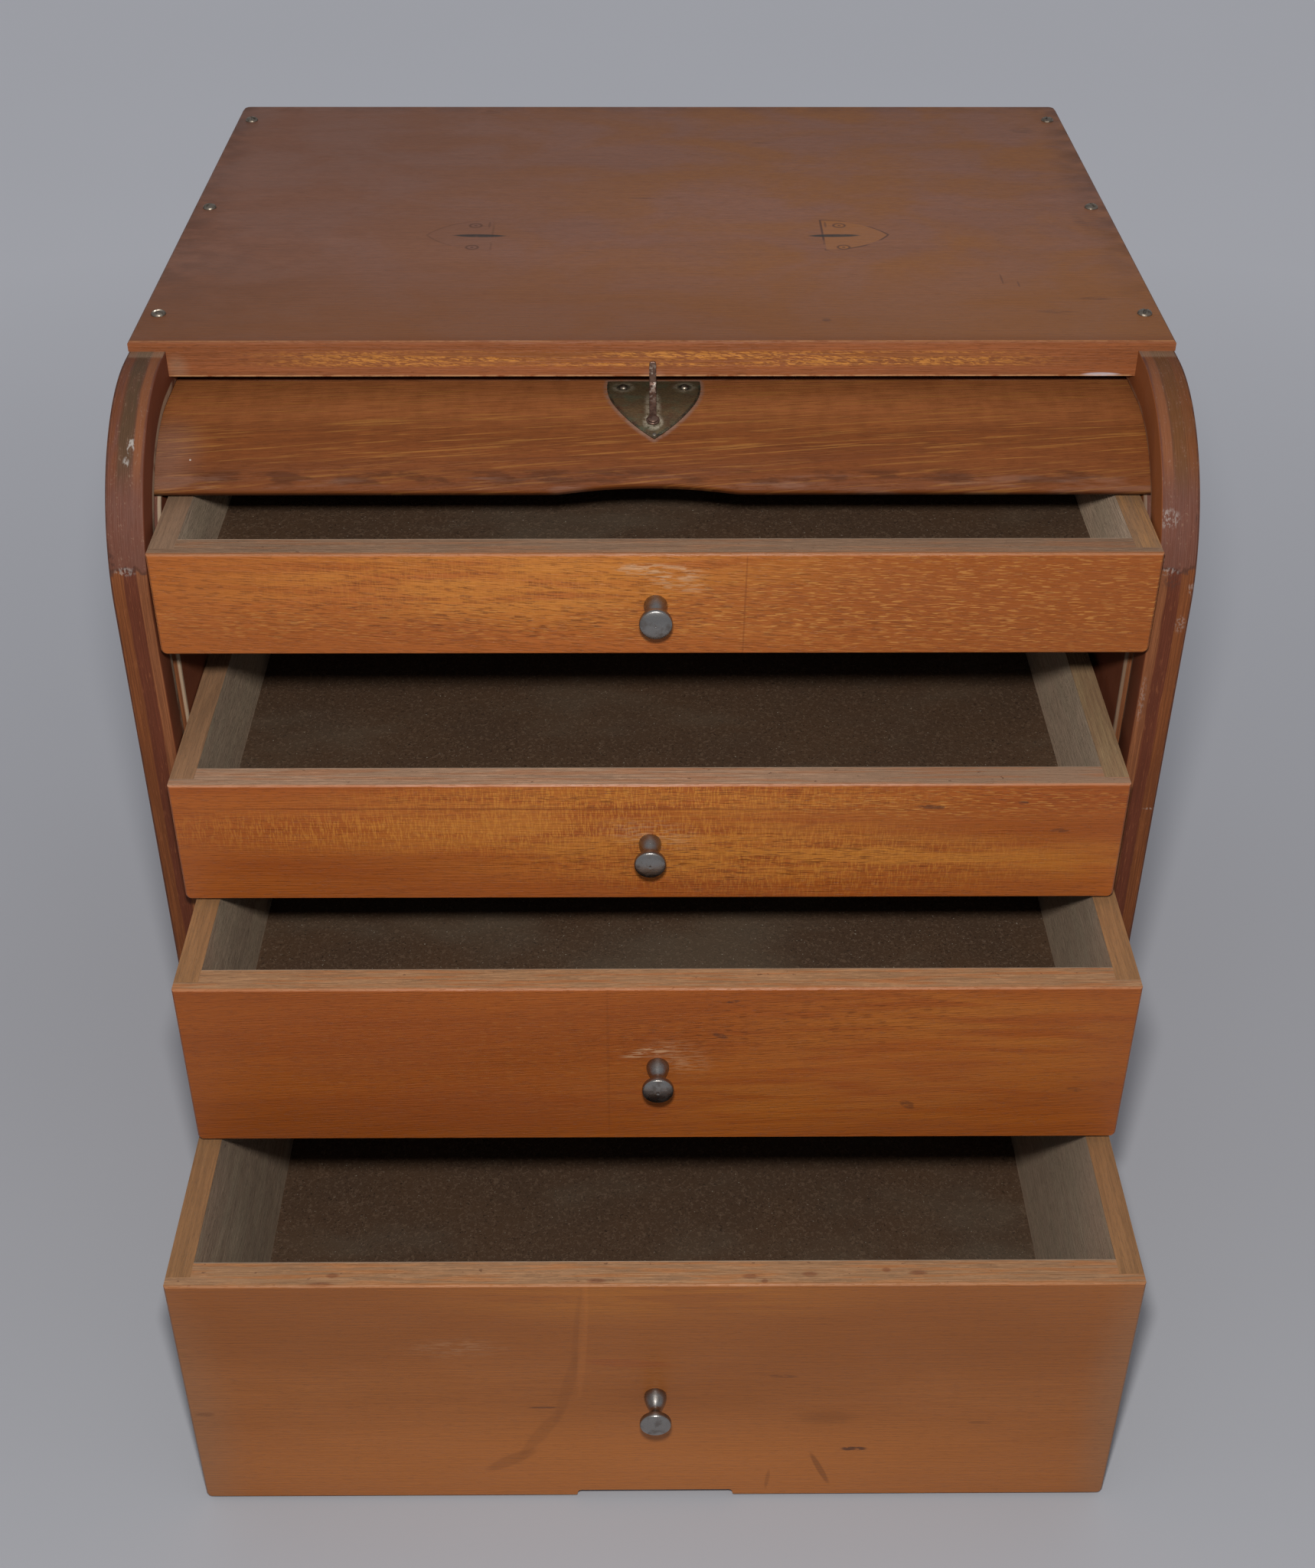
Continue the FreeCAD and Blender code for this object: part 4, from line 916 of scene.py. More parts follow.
def drawer_front_wood(number, look):
    """Mahogany front, varnished.

    The two upper fronts are orange with a gold figure: short dark pores, pale dashes, and
    upright threads that glitter.  The two lower ones are browner, smooth and stained.
    """
    low, high = corners(f"drawer_{number}_front")
    raw_behind, rim_deep = 9.75, 0.45
    word, angle, streak, pores, mottled, dull, streaked, corner = FRONTS[number]
    pale, deep = getattr(look, word + "_pale"), getattr(look, word + "_deep")
    material, tree, where = start_material(f"varnished_front_mahogany_{number}")
    x, y, z = add(tree, "ShaderNodeSeparateXYZ", {"Vector": where}).node.outputs[:]
    turn = (0.0, angle, 0.0)
    base, height = wood(tree, where, 0, pale, deep, 80 + number * 9, streak, pores, turn)
    mottle = cloud(tree, where, (60.0, 30.0, 24.0), 140 + number, 0.36, 0.66, 5.0, 0.8)
    base = paint(tree, base, (shade(deep, 0.9), mottle, mottled))
    kinds = {mark[0] for mark in FRONT_MARKS[number]}
    patterns = {kind: cloud(tree, where, size, seed + number, *levels,
                            turn if kind == "pores" else (0.0, 0.0, 0.0))
                for kind, (size, seed, *levels) in FRONT_PATTERNS.items() if kind in kinds}
    coats = {"gold": look.gold, "pores": shade(deep, 0.4), "dashes": look.dash,
             "comb": look.gold, "scuff": look.scuff, "stain": look.stain,
             "deep": shade(deep, 0.82), "pale": shade(pale, 1.3), "red": look.red,
             "grey": look.grey, "seam": shade(deep, 0.6), "stroke": shade(deep, 0.62)}
    for kind, cover, at_x, rise, half_x, half_z, *tilt in FRONT_MARKS[number]:
        place = patch(tree, where, (at_x, low[1], low[2] + rise), (half_x, 60.0, half_z),
                      tilt[0] if tilt else 0.0, 0.5 if min(half_x, half_z) < 2.8 else 1.3)
        base = paint(tree, base, (coats[kind], place, patterns.get(kind, 1.0), cover))
    rim = front_rim(tree, where, x, y, number, pale, dull, streaked, look)
    base = paint(tree, base, (rim, zone(tree, z, high[2] - rim_deep, soft=0.3)),
                 (pale, zone(tree, z, high[2] - 0.7, soft=0.2),
                  zone(tree, y, high=low[1] + corner, soft=0.6), 0.6),
                 (look.raw, zone(tree, y, low[1] + raw_behind, soft=0.2)))
    end_material(tree, base, (mottle, 0.42, 0.56), height, 0.06, Specular_IOR_Level=0.35)
    return material


def front_rim(tree, where, x, y, number, pale, dull, streaked, look):
    """Colour of a front's upper edge: rubbed almost bare, with dark grain, pale flecks and
    brown spots; its front corner catches the light."""
    low, high = corners(f"drawer_{number}_front")
    own = {1: look.rim_grey, 2: look.rim_pale, 3: look.rim, 4: shade(look.rim, 0.94)}[number]
    tone = cloud(tree, where, (34.0, 5.0, 5.0), 210 + number, 0.35, 0.65, 4.0)
    grain_lines = cloud(tree, where, (24.0, 0.7, 9.0), 220 + number, 0.38, 0.64, 3.0)
    spots = cloud(tree, where, (2.6, 1.6, 9.0), 230 + number, 0.70, 0.76, 2.0)
    streak = cloud(tree, where, (30.0, 1.6, 9.0), 235 + number, 0.48, 0.62, 3.0)
    fleck = cloud(tree, where, (5.0, 0.7, 9.0), 245 + number, 0.52, 0.62, 3.0)
    glint = cloud(tree, where, (16.0, 9.0, 9.0), 240 + number, 0.38, 0.54, 4.0)
    rim = paint(tree, own, (shade(own, 0.8), tone, 0.6), (shade(own, 0.55), grain_lines, 0.55),
                (shade(own, 1.45), fleck, 0.3),
                (shade(own, 0.72), zone(tree, x, 60.0, soft=80.0), dull),
                (shade(pale, 1.2), streak, streaked),
                (shade(own, 1.3), zone(tree, y, high=low[1] + 1.6, soft=1.2), glint, 0.15),
                (look.stain, spots, 0.6))
    for at_x, at_y, wide in RIM_SPOTS.get(number, ()):
        spot = patch(tree, where, (at_x, low[1] + at_y, high[2]), (wide, 0.9, 9.0), soft=0.8)
        rim = paint(tree, rim, (look.red, spot, 0.3), (look.stain, spot, 0.35))
    return rim


def drawer_box_wood(number, look):
    """Raw hardwood of a drawer's sides and back: grey-brown and fuzzy, streaked greenish
    along the grain and scuffed; the upper edge has been handled and varnished over.  The
    right half is painted lighter, standing in for light that falls on it from the left."""
    rim_z = corners(f"drawer_{number}_side_left")[1][2]
    material, tree, where = start_material(f"raw_box_wood_{number}")
    x, _, z = add(tree, "ShaderNodeSeparateXYZ", {"Vector": where}).node.outputs[:]
    # Per drawer: how light the raw wood is, and how much lighter its right half is painted.
    raw_level, right_painted_light = {1: (1.2, 2.6), 2: (1.14, 2.2), 3: (1.0, 1.3), 4: (1.0, 1.9)}[number]
    left, right = {1: (look.rim_grey, look.rim_gold), 2: (look.side_rim, look.rim_dusty),
                   3: (shade(look.rim_orange, 1.15),) * 2, 4: (look.rim_orange,) * 2}[number]
    raw = shade(look.raw, raw_level)
    base, height = wood(tree, where, 1, raw, shade(raw, 0.68), 250 + number * 6, 9.0, 0.4)
    strands = cloud(tree, where, (9.0, 22.0, 0.8), 270 + number, 0.44, 0.62, 3.0)
    scuff = cloud(tree, where, (6.0, 20.0, 1.4), 280 + number, 0.52, 0.66, 5.0, 0.6)
    green = cloud(tree, where, (9.0, 60.0, 12.0), 290 + number, 0.40, 0.64, 4.0)
    tone = cloud(tree, where, (3.0, 30.0, 3.0), 300 + number, 0.35, 0.65, 4.0)
    lines = cloud(tree, where, (0.9, 26.0, 9.0), 310 + number, 0.40, 0.62, 3.0)
    right_half = zone(tree, x, 0.0)
    rim = paint(tree, left, (right, right_half, 0.7), (shade(left, 0.72), tone, 0.5),
                (shade(left, 0.5), lines, 0.4))
    # Painted light: the right half is lighter, as if lit more from the left.
    base = paint(tree, base, (shade(raw, right_painted_light), right_half, 0.5),
                 (look.green, green, 0.35), (shade(look.raw, 0.6), strands, 0.4),
                 (shade(look.raw, 1.5), scuff, 0.4),
                 (rim, zone(tree, z, rim_z - 0.3, soft=0.3)))
    end_material(tree, base, (tone, 0.6, 0.74), height, 0.12, Specular_IOR_Level=0.3,
                 Sheen_Weight=0.17, Sheen_Roughness=0.45, Sheen_Tint=linear("#f2cfae"))
    return material


def hardboard(look):
    """Oil-tempered hardboard: dark brown pressed fibre, cloudy, with fine pale and black
    specks about a millimetre across."""
    material, tree, where = start_material("pressed_fibre_board")
    blotch = cloud(tree, where, (40.0, 40.0, 40.0), 320, 0.35, 0.65, 5.0)
    fibre = cloud(tree, where, (1.2, 1.5, 1.2), 321, 0.48, 0.66, 4.0, 0.8)
    black = cloud(tree, where, (0.9, 0.9, 0.9), 322, 0.60, 0.70, 2.0)
    dust = cloud(tree, where, (0.9, 0.9, 0.9), 323, 0.73, 0.78, 1.0)
    haze = cloud(tree, where, (90.0, 50.0, 50.0), 324, 0.50, 0.72, 4.0)
    base = paint(tree, look.board, (shade(look.board, 0.7), blotch, 0.5),
                 (look.board_speck, fibre, 0.6), (shade(look.board, 0.25), black, 0.75),
                 (look.board_haze, haze, 0.3), (linear("#b0a594"), dust, 0.7))
    end_material(tree, base, (blotch, 0.58, 0.7), fibre, 0.08, Specular_IOR_Level=0.3)
    return material


# ---- metal materials ----------------------------------------------------------------
def knob_nickel(look):
    """Nickel-plated brass, turned and satin finished: a fine grit, drawn as coarse as it
    needs to show, and brown tarnish in patches."""
    material, tree, where = start_material("satin_nickel")
    tarnish = cloud(tree, where, (3.0, 3.0, 3.0), 331, 0.46, 0.68, 4.0)
    grit = cloud(tree, where, (0.35, 0.35, 0.35), 332, 0.3, 0.7, 2.0)
    base = paint(tree, look.nickel, (look.tarnish, tarnish, 0.55),
                 (shade(look.nickel, 0.7), grit, 0.25))
    end_material(tree, base, (tarnish, 0.26, 0.4), grit, 0.012, Metallic=1.0)
    return material


def screw_steel(look):
    """Zinc-plated steel gone dull: grey-brown with dark spots."""
    material, tree, where = start_material("tarnished_screw_steel")
    spots = cloud(tree, where, (1.1, 1.1, 1.1), 341, 0.46, 0.62, 4.0)
    base = paint(tree, look.screw_steel, (linear("#4a3d33"), spots, 0.6))
    end_material(tree, base, (spots, 0.38, 0.6), spots, 0.03, Metallic=1.0)
    return material


def shield_brass(look, halos):
    """Stamped brass under a dark olive patina, blackest along its edge, rubbed paler round
    its nails and beside the hook, with fine dents; it hides most of the metal's shine."""
    material, tree, where = start_material("patinated_shield_brass")
    inner = shield_print(tree, unrolled(tree, where)[2], look, -0.7, 0.02)
    film = cloud(tree, where, (5.0, 4.0, 4.0), 351, 0.36, 0.64, 5.0)
    dents = cloud(tree, where, (0.7, 0.7, 0.7), 352, 0.42, 0.62, 3.0)
    rubbed = cloud(tree, where, (1.6, 1.6, 1.6), 353, 0.32, 0.56, 4.0)
    green = cloud(tree, where, (7.0, 5.0, 5.0), 354, 0.48, 0.66, 4.0)
    red = cloud(tree, where, (4.0, 4.0, 4.0), 355, 0.52, 0.66, 4.0)
    base = paint(tree, look.brass_dark, (look.brass, inner),
                 (shade(look.brass, 0.55), film, 0.75), (linear("#56604c"), green, 0.5),
                 (linear("#5c3526"), red, 0.4), (shade(look.brass, 1.5), dents, 0.25))
    for coat, centre, half, soft, cover in halos:
        place = patch(tree, where, tuple(centre), half, soft=soft)
        base = paint(tree, base, (coat, place, rubbed, cover))
    end_material(tree, base, (film, 0.36, 0.55), dents, 0.05, Metallic=0.55)
    return material


def hook_steel(look):
    """Sheet steel, once plated: red-brown rust, a painted highlight at the bend, darker below."""
    material, tree, where = start_material("rusty_hook_steel")
    z = add(tree, "ShaderNodeSeparateXYZ", {"Vector": where}).node.outputs["Z"]
    strip_top, bend_low, bend_high = 333.0, 334.0, 341.5
    rust = cloud(tree, where, (1.4, 1.4, 1.4), 361, 0.40, 0.62, 5.0)
    bright = cloud(tree, where, (1.6, 2.0, 1.6), 362, 0.50, 0.62, 3.0)
    bend = zone(tree, z, bend_low, bend_high, 3.0)
    base = paint(tree, look.steel, (linear("#4d352b"), rust, 0.7),
                 # Painted highlight: the lamp's reflection where the strip bends.
                 (linear("#d2c6b8"), bend, bright, 0.8),
                 (linear("#3b2a24"), zone(tree, z, high=strip_top, soft=3.0), rust, 0.45))
    end_material(tree, base, (rust, 0.32, 0.6), rust, 0.05, Metallic=0.7)
    return material


def floor_paper(look):
    """Matt paper sheet: an even pale grey with a very faint mottle.  Far behind the object,
    where the lamp no longer reaches, it glows a little to the camera and in reflections, so
    that it stays pale."""
    material, tree, where = start_material("matt_floor_paper")
    lit_centre, glow_starts, glow_full = (0.0, -350.0, 0.0), 150.0, 1300.0
    mottle = cloud(tree, where, (300.0, 300.0, 300.0), 371, 0.3, 0.7, 2.0)
    base = paint(tree, look.floor, (shade(look.floor, 0.8), mottle, 0.1))
    far = add(tree, "ShaderNodeVectorMath", {0: where, 1: lit_centre}, operation="DISTANCE")
    far = add(tree, "ShaderNodeMapRange", {"Value": far, "From Min": glow_starts,
                                           "From Max": glow_full})
    far = add(tree, "ShaderNodeMath", {0: far, 1: 0.8}, operation="POWER")
    far = add(tree, "ShaderNodeMath", {0: far, 1: look.far_glow}, operation="MULTIPLY")
    ray = add(tree, "ShaderNodeLightPath").node.outputs
    seen = add(tree, "ShaderNodeMath", {0: ray["Is Camera Ray"], 1: ray["Is Glossy Ray"]},
               operation="MAXIMUM")
    seen = add(tree, "ShaderNodeMath", {0: seen, 1: ray["Is Transmission Ray"]},
               operation="MAXIMUM")
    glow = add(tree, "ShaderNodeMath", {0: far, 1: seen}, operation="MULTIPLY")
    shader = add(tree, "ShaderNodeBsdfPrincipled", {
        "Base Color": base, "Roughness": 0.9, "Emission Color": look.floor,
        "Emission Strength": glow})
    add(tree, "ShaderNodeOutputMaterial", {"Surface": shader})
    return material


def dress(nodes, material):
    """Gives CAD nodes a material in place of the one they came with."""
    for node in nodes:
        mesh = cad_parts[node].data
        mesh.materials.clear()
        mesh.materials.append(material)


# ---- shapes of the new pieces -------------------------------------------------------
def front_bend():
    """y and z of the front bend's axis, and the radius of the roll front's face round it."""
    look = scene_look()
    nose = look.case.nose / MM
    return SIDE_LOW[1] + nose, SIDE_HIGH[2] - nose, look.roll.bend / MM


def side_outlines(look):
    """Outlines of a side in the YZ plane: the whole side, and its inner layer.

    The inner layer is the side less the roll front's groove, which opens at the floor and
    ends behind, and less the housings of the base and the back.
    """
    nose, lip, back_lip, width, bend, tail = (v / MM for v in (
        look.nose, look.groove_lip, look.groove_back_lip, look.groove_width, look.back_bend,
        look.tail_end))
    front, back, top = SIDE_LOW[1], SIDE_HIGH[1], SIDE_HIGH[2]
    bend_y, bend_z, _ = front_bend()
    back_wall = back - back_lip
    back_y, back_z = back_wall - bend, top - lip - bend
    curve = curve_points(bend_y, bend_z, nose, 90, 0, 49)
    whole = np.vstack([[front, 0.0], curve, [back, top], [back, 0.0]])
    outer_wall = np.vstack([
        [front + lip, 0.0], curve_points(bend_y, bend_z, nose - lip, 90, 0, 33),
        curve_points(back_y, back_z, bend, 0, -90, 25)])
    tail_end = curve_points(back_wall - width / 2, tail, width / 2, -90, -270, 17)
    inner_wall = np.vstack([
        curve_points(back_y, back_z, bend - width, -90, 0, 25),
        curve_points(bend_y, bend_z, nose - lip - width, 0, 90, 33),
        [front + lip + width, 0.0]])
    base_front, base_top = BASE_LOW[1], BASE_HIGH[2]
    back_front, back_top = BACK_LOW[1], BACK_HIGH[2]
    inner = np.vstack([
        outer_wall, tail_end, inner_wall, [base_front, 0.0], [base_front, base_top],
        [back_front, base_top], [back_front, back_top], [back, back_top], [back, top],
        curve[::-1], [front, 0.0]])
    return whole, inner


def side_shells(look, direction):
    """The two layers of a side, each a flat piece with worn edges.

    A worn edge is four rings, each given as shares of the ease: how far it lies behind the
    broad face, and how far inward of the outline.
    """
    ease = look.ease / MM
    worn = np.array([(0.0, 1.0), (0.13, 0.5), (0.5, 0.13), (1.0, 0.0)]) * ease
    seam = [(SIDE_LOW[0] + look.groove_depth / MM, 0.0)]
    outside = np.vstack([seam, (worn * (-1.0, 1.0) + (SIDE_HIGH[0], 0.0))[::-1]])
    inside = np.vstack([worn + (SIDE_LOW[0], 0.0), seam])
    return [plate(outline, rings * (direction, 1.0))
            for outline, rings in zip(side_outlines(look), (outside, inside))]


def store_run(piece):
    """Stores at each point of a piece its run along the roll front.

    The run is the angle about the front bend times the face's radius in front of the bend's
    axis, and the level distance behind it as a negative run.
    """
    bend_y, bend_z, face = front_bend()
    points = np.zeros(len(piece.data.vertices) * 3, np.float32)
    piece.data.vertices.foreach_get("co", points)
    y, z = points.reshape(-1, 3).T[1:] / MM
    run = np.where(y < bend_y, np.arctan2(bend_y - y, z - bend_z) * face, bend_y - y)
    layer = piece.data.attributes.new("run", "FLOAT", "POINT")
    layer.data.foreach_set("value", run.astype(np.float32))


def bent(run, height):
    """y and z of points that stand a height off the roll front's face at a run.

    A point is turned about the front bend by run / radius, or lies level behind the bend
    where the run is negative.
    """
    bend_y, bend_z, face = front_bend()
    angle = np.maximum(run, 0) / face
    return (bend_y - (face + height) * np.sin(angle) - np.minimum(run, 0),
            bend_z + (face + height) * np.cos(angle))


def on_roll(points, run):
    """Stands points made about the Z axis on the roll front's face at a run: they are turned
    about X by run / radius and moved to that place of the face."""
    angle = max(run, 0.0) / front_bend()[2]
    c, s = math.cos(angle), math.sin(angle)
    turn = np.array([[1.0, 0.0, 0.0], [0.0, c, -s], [0.0, s, c]])
    return np.asarray(points) @ turn.T + np.array([0.0, *bent(run, 0.0)])


def outward(run):
    """The direction that stands square on the roll front's face at a run."""
    return on_roll((0.0, 0.0, 1.0), run) - on_roll((0.0, 0.0, 0.0), run)


def rounded(wave, power):
    """A sine or cosine drawn towards a square wave: its size raised to a power below 1."""
    return np.sign(wave) * np.abs(wave) ** power


def lead_shell(look):
    """The lead board: its cross section carried across the cabinet.

    In the section, s is the run along the face and h the height above the underside.  The
    lead end follows the finger notch, a flat arc: its depth at x is the full depth times
    1 - (2 * x / width) ** 2, kept from going negative by a short curve.  At its two sides
    the board is thinned by up to thinning on each face.
    """
    thick, r, half = look.thickness / MM, look.lead_round / MM, LEAD_HALF
    side, thinning = 0.35, 0.3
    centre, width = look.notch_shift / MM, look.notch_width / MM
    x = np.unique(np.concatenate([
        np.linspace(-half, half, 60), centre + np.linspace(-0.6, 0.6, 97) * width,
        [-half, -half + side, half - side, half]]))
    depth = 1 - (2 * (x - centre) / width) ** 2
    notch = look.notch_depth / MM * 0.5 * (depth + np.hypot(depth, 0.12))
    end = look.exposed / MM - notch - r
    back = -look.covered / MM
    shrink = np.clip((np.abs(x) - (half - side)) / side, 0, 1) * thinning
    body = np.linspace(0, 1, 40)
    turn = np.radians(np.linspace(0, 90, 9))
    share = np.concatenate([body, np.ones(2 * len(turn)), body[::-1]])
    reach = np.concatenate([0 * body, r * np.sin(turn), r * np.cos(turn), 0 * body])
    rise = np.concatenate([thick + 0 * body, thick - r + r * np.cos(turn),
                           r - r * np.sin(turn), 0 * body])
    s = back + share * (end[:, None] - back) + reach
    middle = thick / 2
    h = middle + (rise - middle) * (1 - shrink[:, None] / middle)
    grid = np.stack([np.broadcast_to(x[:, None], s.shape), *bent(s, h - thick)], axis=-1)
    return grid, grid_faces(*s.shape, close_columns=True), end_faces(*s.shape)


def shield_circle(look):
    """The circle that bounds the shield on its right: through the end of the straight edge,
    the belly and the tip.  The left is bounded by its mirror image.

    The circle's centre and radius solve 2 * x * cx + 2 * y * cy + rest = x * x + y * y at the
    three points, where the radius squared is rest + cx * cx + cy * cy.
    """
    points = np.array([[look.shield_width / 2, look.top_run],
                       [look.shield_belly / 2, look.belly_run], [0.0, look.tip_run]]) / MM
    matrix = np.column_stack([2 * points, np.ones(3)])
    cx, cy, rest = np.linalg.solve(matrix, np.sum(points ** 2, axis=1))
    return cx, cy, math.sqrt(rest + cx ** 2 + cy ** 2)


def shield_shell(look):
    """The shield: a thin plate bent to the roll front.

    Its half width at a run is that of its bounding circle.  Around each cross section the
    point is at width * cos and at half the thickness * (1 + sin), both drawn towards a
    rounded rectangle.  The straight edge is eased by a lower first section.
    """
    cx, cy, radius = shield_circle(look)
    top, tip, thick = look.top_run / MM, look.tip_run / MM, look.thickness / MM
    tip_length, ease, around_steps = 1.2, 0.22, 64
    run = np.concatenate([[top], np.linspace(top + 0.25, tip - tip_length, 70),
                          tip - tip_length * (1 - np.linspace(0.08, 1, 12)) ** 2])
    width = np.maximum(cx + np.sqrt(np.maximum(radius ** 2 - (run - cy) ** 2, 0)), 0.0)
    width[-1] = 0.0
    around = np.linspace(0, 2 * np.pi, around_steps, endpoint=False)
    x = look.shift / MM + width[:, None] * rounded(np.cos(around), 0.5)
    rise = thick * (0.5 + 0.5 * rounded(np.sin(around), 0.25))
    h = np.tile(rise, (len(run), 1))
    h[0] = np.minimum(h[0], thick - ease)
    grid = np.stack([x, *bent(run[:, None], h)], axis=-1)
    return grid, grid_faces(*x.shape, close_columns=True), np.arange(around_steps)[None]


def hook_shells(look):
    """The hook: a rounded strip carried along its bent line, and a round eye.

    The line runs level from the pivot, turns up in an arc and ends in the lug.  Around the
    line the section is a rounded rectangle that shrinks to a point at the lug's tip: its
    scale at a share q of the tip is the square root of 1 - q * q.
    """
    thick, width, pivot, straight, lug, eye = (v / MM for v in (
        look.hook_thickness, look.hook_width, look.pivot_run, look.hook_length, look.hook_lug,
        look.hook_eye))
    middle = look.hook_gap / MM + thick / 2 + look.thickness / MM
    bend = look.hook_bend / MM + thick / 2
    turn = math.pi / 2 - pivot / front_bend()[2]
    tip_length, corner, around_steps = 1.2, 0.3, 28
    level = np.linspace(0, straight, 12, endpoint=False)
    swing = np.linspace(0, turn, 14, endpoint=False)
    tip = np.linspace(0, 1, 9)
    rise = np.concatenate([np.linspace(0, lug - tip_length, 10, endpoint=False),
                           lug - tip_length * (1 - np.sin(tip * np.pi / 2))])
    path = np.vstack([
        np.stack([level, np.full(len(level), middle)], axis=1),
        np.stack([straight + bend * np.sin(swing), middle + bend * (1 - np.cos(swing))], axis=1),
        np.stack([straight + bend * math.sin(turn) + rise * math.cos(turn),
                  middle + bend * (1 - math.cos(turn)) + rise * math.sin(turn)], axis=1)])
    heading = np.concatenate([0 * level, swing, np.full(len(rise), turn)])[:, None]
    scale = np.ones((len(path), 1))
    scale[-len(tip):, 0] = np.sqrt(1 - tip ** 2)
    around = np.linspace(0, 2 * np.pi, around_steps, endpoint=False)
    x = scale * (width / 2 * rounded(np.cos(around), 0.55))
    out = scale * (thick / 2 * rounded(np.sin(around), 0.55))
    strip = np.stack([x, path[:, :1] - np.sin(heading) * out,
                      path[:, 1:] + np.cos(heading) * out], axis=-1)
    q = np.linspace(0, np.pi, 13)
    profile = np.vstack([
        [0.0, -thick / 2],
        np.stack([eye - corner + corner * np.sin(q), -thick / 2 * np.cos(q)], axis=1),
        [0.0, thick / 2]])
    disc, disc_faces = turned(profile, (0.0, 0.0, middle), (0.0, 0.0, 1.0), 48)
    return ((on_roll(strip, pivot), grid_faces(*x.shape, close_columns=True),
             np.arange(around_steps)[None]), (on_roll(disc, pivot), disc_faces))


def knob_profile(look):
    """Half outline of a knob: rounded foot, narrow neck, flared head and a low crown with a
    small centre dimple, as two smooth curves that meet at the head's lower corner.

    Radii are shares of the foot, the neck or the head.  Heights are millimetres above the
    front, and on the crown below the knob's full length.
    """
    foot, neck, head, tall = (v / MM for v in (look.foot, look.neck, look.head, look.length))
    steps = 6
    lower = along([(foot, 0.0), (foot * 1.02, 0.9), (foot * 0.95, 2.1), (foot * 0.78, 3.6),
                   (neck * 1.18, 5.0), (neck, 5.9), (neck, 6.8), (neck * 1.28, 7.9),
                   (head * 0.62, 8.9), (head * 0.88, 9.8), (head * 0.98, 10.4),
                   (head, 10.9)], steps)
    upper = along([(head, 10.9), (head * 0.995, 11.5), (head * 0.965, 12.0),
                   (head * 0.9, tall - 0.72), (head * 0.7, tall - 0.42),
                   (head * 0.4, tall - 0.18), (head * 0.15, tall - 0.04),
                   (head * 0.06, tall - 0.08), (0.0, tall - 0.2)], steps)
    return np.vstack([[0.0, 0.0], lower, upper[1:]])


# ---- operators ----------------------------------------------------------------------
class CABINET_OT_sides(bpy.types.Operator):
    """Makes the two plywood sides with their rounded nose and groove"""
    bl_idname = "cabinet.sides"
    bl_label = "Case sides"

    def execute(self, context):
        look = scene_look().case
        material = side_plywood(look)
        for word, direction in (("left", -1), ("right", 1)):
            piece = make_piece("side_" + word, side_shells(look, direction), "cabinet",
                               material)
            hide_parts("case_side_" + word)
        return {"FINISHED"}


class CABINET_OT_boards(bpy.types.Operator):
    """Finishes the top, the back, the base and the runners"""
    bl_idname = "cabinet.boards"
    bl_label = "Case boards"

    def execute(self, context):
        look = scene_look().case
        dress(["top_board"], top_wood(look))
        dress(["back_panel", "base_board"], thin_plywood(look))
        dress([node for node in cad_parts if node.startswith("runner_")],
              runner_hardwood(look))
        return {"FINISHED"}


class CABINET_OT_top_screws(bpy.types.Operator):
    """Makes the six round-headed screws of the top"""
    bl_idname = "cabinet.top_screws"
    bl_label = "Top screws"

    def execute(self, context):
        look = scene_look().case
        low, high = corners("top_screws")
        radius, height = look.screw_radius / MM, look.screw_height / MM
        middle_share = 0.412
        angles = np.random.default_rng(7).uniform(0, np.pi, 6)
        rows = (low[1] + radius, low[1] + radius + middle_share * (TOP_HIGH[1] - TOP_LOW[1]),
                high[1] - radius)
        places = [(x, y, TOP_HIGH[2]) for y in rows for x in (low[0] + radius, high[0] - radius)]
        shells = [round_head(place, (0, 0, 1), radius, height, angle)
                  for place, angle in zip(places, angles)]
        piece = make_piece("top_screw_heads", shells, "cabinet",
                           screw_steel(look))
        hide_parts("top_screws")
        return {"FINISHED"}


class CABINET_OT_roll_front(bpy.types.Operator):
    """Makes the roll front's lead board and finishes its other stretches"""
    bl_idname = "cabinet.roll_front"
    bl_label = "Roll front"

    def execute(self, context):
        look = scene_look().roll
        piece = make_piece("roll_lead_board", [lead_shell(look)], "roll_front",
                           roll_wood(look))
        store_run(piece)
        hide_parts("roll_lead")
        dress(["roll_top_run", "roll_back_bend", "roll_back_run"], roll_raw_wood(look))
        return {"FINISHED"}


